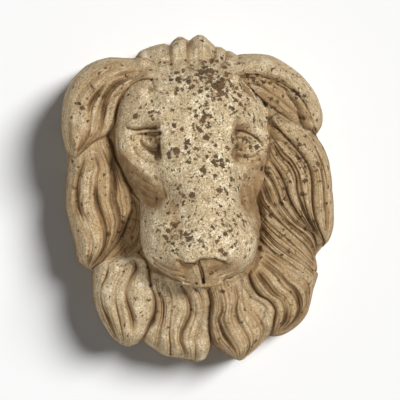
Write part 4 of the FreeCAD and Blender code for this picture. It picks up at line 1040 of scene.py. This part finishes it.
            [(-40, 166), (-62, 176), (-96, 177), (-124, 168), (-144, 154), (-160, 134), (-169, 110),
             (-172, 84), (-168, 64), (-165, 53)],
            [(-42, 160), (-62, 170), (-88, 168), (-106, 163), (-118, 157), (-131, 142), (-142, 126),
             (-145, 108), (-145, 88), (-152, 70), (-164, 54)],
            [(-44, 154), (-62, 164), (-80, 163), (-96, 158), (-109, 151), (-120, 139), (-126, 122),
             (-128, 102), (-131, 88), (-144, 74), (-162, 54)],
            [(-48, 148), (-62, 158), (-76, 157), (-88, 151), (-99, 141), (-107, 130), (-111, 116),
             (-113, 100), (-118, 92), (-126, 84), (-140, 75), (-149, 66), (-161, 54)]],
        "depth": [0, 0.35, 1.3, 1.0, 0], "lift": 5, "comb": 0.9, "sink": 8.0, "reach": 0.16, "start": 0.26,
        "edge": 0.4, "pale": 0.48},
}


def makeLock(name, lock, seed):
    # Points lie straight between neighbouring lines. Their height is that of the hair, less a narrow cut
    # and a wide valley at each inner line, less a rounding at the two outer lines, with fine combing
    # that runs along the strands. Beyond the outer lines and the ends a skirt drops into the stone, or
    # down the straight edge to the wall where the lock reaches the outline.
    lock = {**usualLock, **lock}
    rows, across = groove["rows"], groove["across"]
    lines = np.stack([chain(p, rows) for p in lock["lines"]])
    count = len(lines)
    t = np.linspace(0, count - 1, (count - 1) * across + 1)
    i = np.minimum(t.astype(int), count - 2)
    f = (t - i)[:, None]
    place = lines[i] * (1 - f[..., None]) + lines[i + 1] * f[..., None]
    width = np.hypot(*np.moveaxis(lines[i + 1] - lines[i], -1, 0))
    s = np.linspace(0, 1, rows)
    x, z = place[..., 0], place[..., 1]
    depth = np.array(lock["depth"], float)
    # grooves are shallow where the lines lie close together, and near the root and the tip
    begin = smooth((s - lock["start"] * 0.4) / lock["start"])
    narrow = np.clip(width / 11, 0, 1) * begin * smooth((1 - s) / groove["fadeOut"])
    length = np.mean(np.sum(np.hypot(*np.moveaxis(np.diff(lines, axis=1), -1, 0)), -1))
    along = s[None] * length + 0 * x
    drop, dark, near = np.zeros(x.shape), np.zeros(x.shape), np.zeros(x.shape)
    wide = 0.30 * (1.15 - lock["pale"])                      # pale locks get painted shade in the narrow cut alone
    for line, d in ((i, f * width), (i + 1, (1 - f) * width)):
        # a groove is strong in some places and dies away in others
        usual, change, size = groove["vary"]
        vary = usual + change * lumps(along, line[:, None] * 900.0 + 0 * x, size, seed + 1)
        g = depth[line][:, None] * narrow * np.clip(vary, 0.12, 1.35)
        drop += g * (groove["cut"] * np.exp(-d / groove["cutWidth"])
                     + groove["valley"] * np.exp(-(d / groove["valleyWidth"]) ** 2))
        # painted shade in the grooves: dark in the narrow cut, and over the wide valley on darker locks
        dark += g * (0.80 * np.exp(-d / 1.5) + wide * np.exp(-(d / 5.5) ** 2))
        near += np.clip(g, 0, 1) * np.exp(-(d / 7.5) ** 2)
        edge = ((line == 0) | (line == count - 1))[:, None]
        rim = np.clip(1 - d / groove["edgeWidth"], 0, 1) * np.clip(width / 12, 0.3, 1)
        drop += edge * lock["round"] * (1 - np.sqrt(1 - rim ** 2 * 0.98))
        # painted shade along the lock's outer sides
        dark += edge * lock["edge"] * np.exp(-d / 2.4)
    mean = np.mean(width)
    comb = np.zeros(x.shape)
    rng = np.random.default_rng(seed)
    aside = t[:, None] * mean + 0 * x
    for spacing in groove["comb"]:
        # sharp cuts at even spacing that wander a little and stop here and there
        wave = 1.2 * lumps(along, aside, 40, seed + 7) + rng.uniform(0, 6)
        cut = (1 - np.abs(np.sin(np.pi * aside / spacing + wave))) ** 2
        stops = lumps(s[None] * length * 0.2 + 0 * x, aside, 7, seed + round(spacing * 10))
        comb += spacing * 0.17 * cut * np.clip(0.45 + 1.2 * stops, 0, 1)
    tone = np.interp(t, np.arange(count), lock.get("tone", [0] * count))[:, None]      # more combed as well
    comb = comb * (0.40 + 1.3 * np.clip(near, 0, 1) + 3 * tone)
    # painted shade in the fine comb cuts
    dark += 0.56 * lock["comb"] * comb
    height = hairHeight(x, z) + groove["stand"] + lock["lift"] - drop - lock["comb"] * comb
    height += lock["rough"] * sum(a * lumps(x, z, b, seed + c) for a, b, c in groove["lumps"])
    height -= lock["sink"] * (1 - smooth(s / lock["reach"]))
    # darker all over, single darker strands, and painted shade at the root where it sinks into the stone
    dark += tone + lock["dark"] + lock["rootDark"] * (1 - smooth(s / 0.34))
    strand = np.stack([t[:, None] * mean / 1000 + 0 * x, s[None] * 0.2 + 0 * x], -1)
    # skirts along the outer lines, then across the ends
    sheet = addSkirts(x, z, height, dark, strand)
    x, z, height, dark, strand = addSkirts(*[np.moveaxis(v, 0, 1) for v in sheet])
    pale = lock["pale"] + 0.12 * lumps(x, z, 30, seed)
    if "whiteBelow" in lock:                                 # the crown starts as pale as the forehead
        pale = pale + (1 - pale) * smooth((lock["whiteBelow"] - z) / 24)
    pale = np.clip(pale, 0, 1)
    tint = np.stack([np.clip(dark, 0, 1), lichenAt(x, z), pale], -1)
    points = toFrame(x, z, height)
    # lines may be given from either side, so the columns are turned round where the faces look inwards
    a, b, c = points[rows // 2, 4], points[rows // 2, 10], points[rows // 2 + 5, 4]
    if np.cross(b - a, c - a)[1] > 0:
        points, tint, strand = points[:, ::-1], tint[:, ::-1], strand[:, ::-1]
    return tubeMesh(name, points, tint, hairStone, strand)


def addSkirts(x, z, height, dark, strand):
    # Continues a grid past its first and last line. At the outline of the mask the skirt goes down to the
    # wall with three soft ribs, and elsewhere it leans outwards into the stone, to meet its neighbour in
    # a groove.
    middle, half, top, roof = groove["channel"]
    made = []
    for first, second in ((0, 3), (-1, -4)):
        away = np.stack([x[first] - x[second], z[first] - z[second]])
        away = away / np.maximum(np.hypot(*away), 1e-6)
        border = radiusAt(mask["outline"], x[first], z[first]) - np.hypot(x[first], z[first])
        outer = 1 - smooth((border - 2) / 7)
        channel = (np.abs(x[first] - middle) < half) & (z[first] < top)
        inner = np.maximum(height[first] - groove["skirt"], mask["least"])
        bottom = outer * np.where(channel, roof, 1) + (1 - outer) * inner
        share = np.linspace(0, 1, 10)[1:, None]
        sideways = 0.3 + (1 - outer) * 2.2 * np.minimum(share * 2.2, 1) \
            + outer * (0.9 + 0.9 * np.abs(np.sin(share * 3 * np.pi))) * np.minimum(share * 6, 1)
        sx = x[first] + away[0] * sideways
        sz = z[first] + away[1] * sideways
        sh = height[first] + (bottom - height[first]) * share
        # painted shade: a skirt darkens as it drops into the gap between locks, and a little down the outer
        # edge
        sd = dark[first] + (0.62 * (1 - outer) + 0.1 * outer - dark[first]) * np.minimum(share * 2, 1)
        st = np.repeat(strand[first][None], len(share), 0) + share[..., None] * np.array([0.03, 0.0])
        made.append((sx, sz, sh, sd, st))
    before, after = made
    return [np.concatenate([b[::-1], v, a]) for b, v, a in zip(before, (x, z, height, dark, strand), after)]


for number, (name, lock) in enumerate(locks.items()):
    makeLock(name, lock, 11 + 5 * number)
print("locks made", len(locks))


# Camera, floor and light

# the picture is 274 mm wide each side of its middle at a distance of 1640 mm
view = {"at": (0.0034, -1.7, -0.0914), "sensor": 36, "halfWidth": 274 / 1640}
camera = bpy.data.objects.new("camera", bpy.data.cameras.new("camera"))
camera.location = view["at"]
camera.rotation_euler = (math.pi / 2, 0, 0)
camera.data.lens = view["sensor"] / 2 / view["halfWidth"]
camera.data.sensor_width = view["sensor"]
bpy.context.scene.collection.objects.link(camera)
bpy.context.scene.camera = camera

studio = {
    "wall": (0.92, 0.92, 0.92), "wallSide": 3.0, "wallBehind": 0.0015, "world": 0.12,
    "aim": (0, 0, -0.1),
    # lamps: name, kind, place, angle or size, power, whether it lights the wall or the mask
    "lamps": [
        ("key", "SUN", (1.20, -1.74, 0.50), 0.17, 2.86, "mask"),
        ("wall_key", "SUN", (1.25, -1.35, 0.62), 0.42, 4.2, "wall"),
        ("fill", "AREA", (-0.80, -1.90, -0.75), 1.2, 18.5, "mask"),
        ("back", "AREA", (0, 1.6, 0.1), 0.3, 8.0, "mask"),
    ],
}


def wallMaterial():
    # plain pale wall that is seen from the front alone, and lets the light behind it through
    kit = Kit("wall")
    kit.finish(studio["wall"], 0.9, **{"Specular IOR Level": 0.0})
    back = Wire(kit, kit.node("ShaderNodeNewGeometry", {}, {}).outputs["Backfacing"])
    rays = kit.node("ShaderNodeLightPath", {}, {}).outputs
    clear = kit.node("ShaderNodeBsdfTransparent", {}, {}).outputs[0]
    unseen = back.do("MAXIMUM", Wire(kit, rays["Is Shadow Ray"]))
    mixed = kit.node("ShaderNodeMixShader", {}, [unseen, kit.shader.outputs[0], clear])
    kit.put(mixed.outputs[0], kit.tree.nodes["Material Output"].inputs[0])
    return kit.material


def makeWall():
    # an upright square just behind the wall plate
    side, behind = studio["wallSide"] / 2, studio["wallBehind"]
    corners = [(-side, behind, -side), (side, behind, -side), (side, behind, side), (-side, behind, side)]
    mesh = bpy.data.meshes.new("wall")
    mesh.from_pydata(corners, [], [(0, 1, 2, 3)])
    mesh.materials.append(wallMaterial())
    made = bpy.data.objects.new("wall", mesh)
    bpy.context.scene.collection.objects.link(made)
    return made


def lampAt(name, kind, at, size, power, receivers):
    # a lamp that looks at the aim and lights the given pieces alone
    lamp = bpy.data.lights.new(name, kind)
    lamp.energy = power
    setattr(lamp, "angle" if kind == "SUN" else "size", size)
    made = bpy.data.objects.new(name, lamp)
    made.location = at
    way = np.array(studio["aim"]) - np.array(at)
    made.rotation_euler = (math.atan2(math.hypot(way[0], way[1]), -way[2]), 0, math.atan2(-way[0], way[1]))
    bpy.context.scene.collection.objects.link(made)
    lit = bpy.data.collections.new(name + "_lights")
    for piece in receivers:
        lit.objects.link(piece)
    made.light_linking.receiver_collection = lit


def makeWorld():
    # even light of the given strength, and plain white where the camera sees it
    world = bpy.data.worlds.new("world")
    bpy.context.scene.world = world
    world.use_nodes = True
    tree = world.node_tree
    ground, seen = tree.nodes["Background"], tree.nodes.new("ShaderNodeBackground")
    ground.inputs[1].default_value = studio["world"]
    rays, mix = tree.nodes.new("ShaderNodeLightPath"), tree.nodes.new("ShaderNodeMixShader")
    for shader in (ground, seen):
        shader.inputs[0].default_value = (1, 1, 1, 1)
    for source, socket in ((rays.outputs["Is Camera Ray"], mix.inputs[0]), (ground.outputs[0], mix.inputs[1]),
                           (seen.outputs[0], mix.inputs[2]),
                           (mix.outputs[0], tree.nodes["World Output"].inputs[0])):
        tree.links.new(source, socket)


wall = makeWall()
pieces = [o for o in bpy.context.scene.objects if o.type == "MESH" and o != wall]
for *lamp, lights in studio["lamps"]:
    lampAt(*lamp, [wall] if lights == "wall" else pieces)
makeWorld()
bpy.context.scene.view_settings.view_transform = "Standard"
print("studio made")
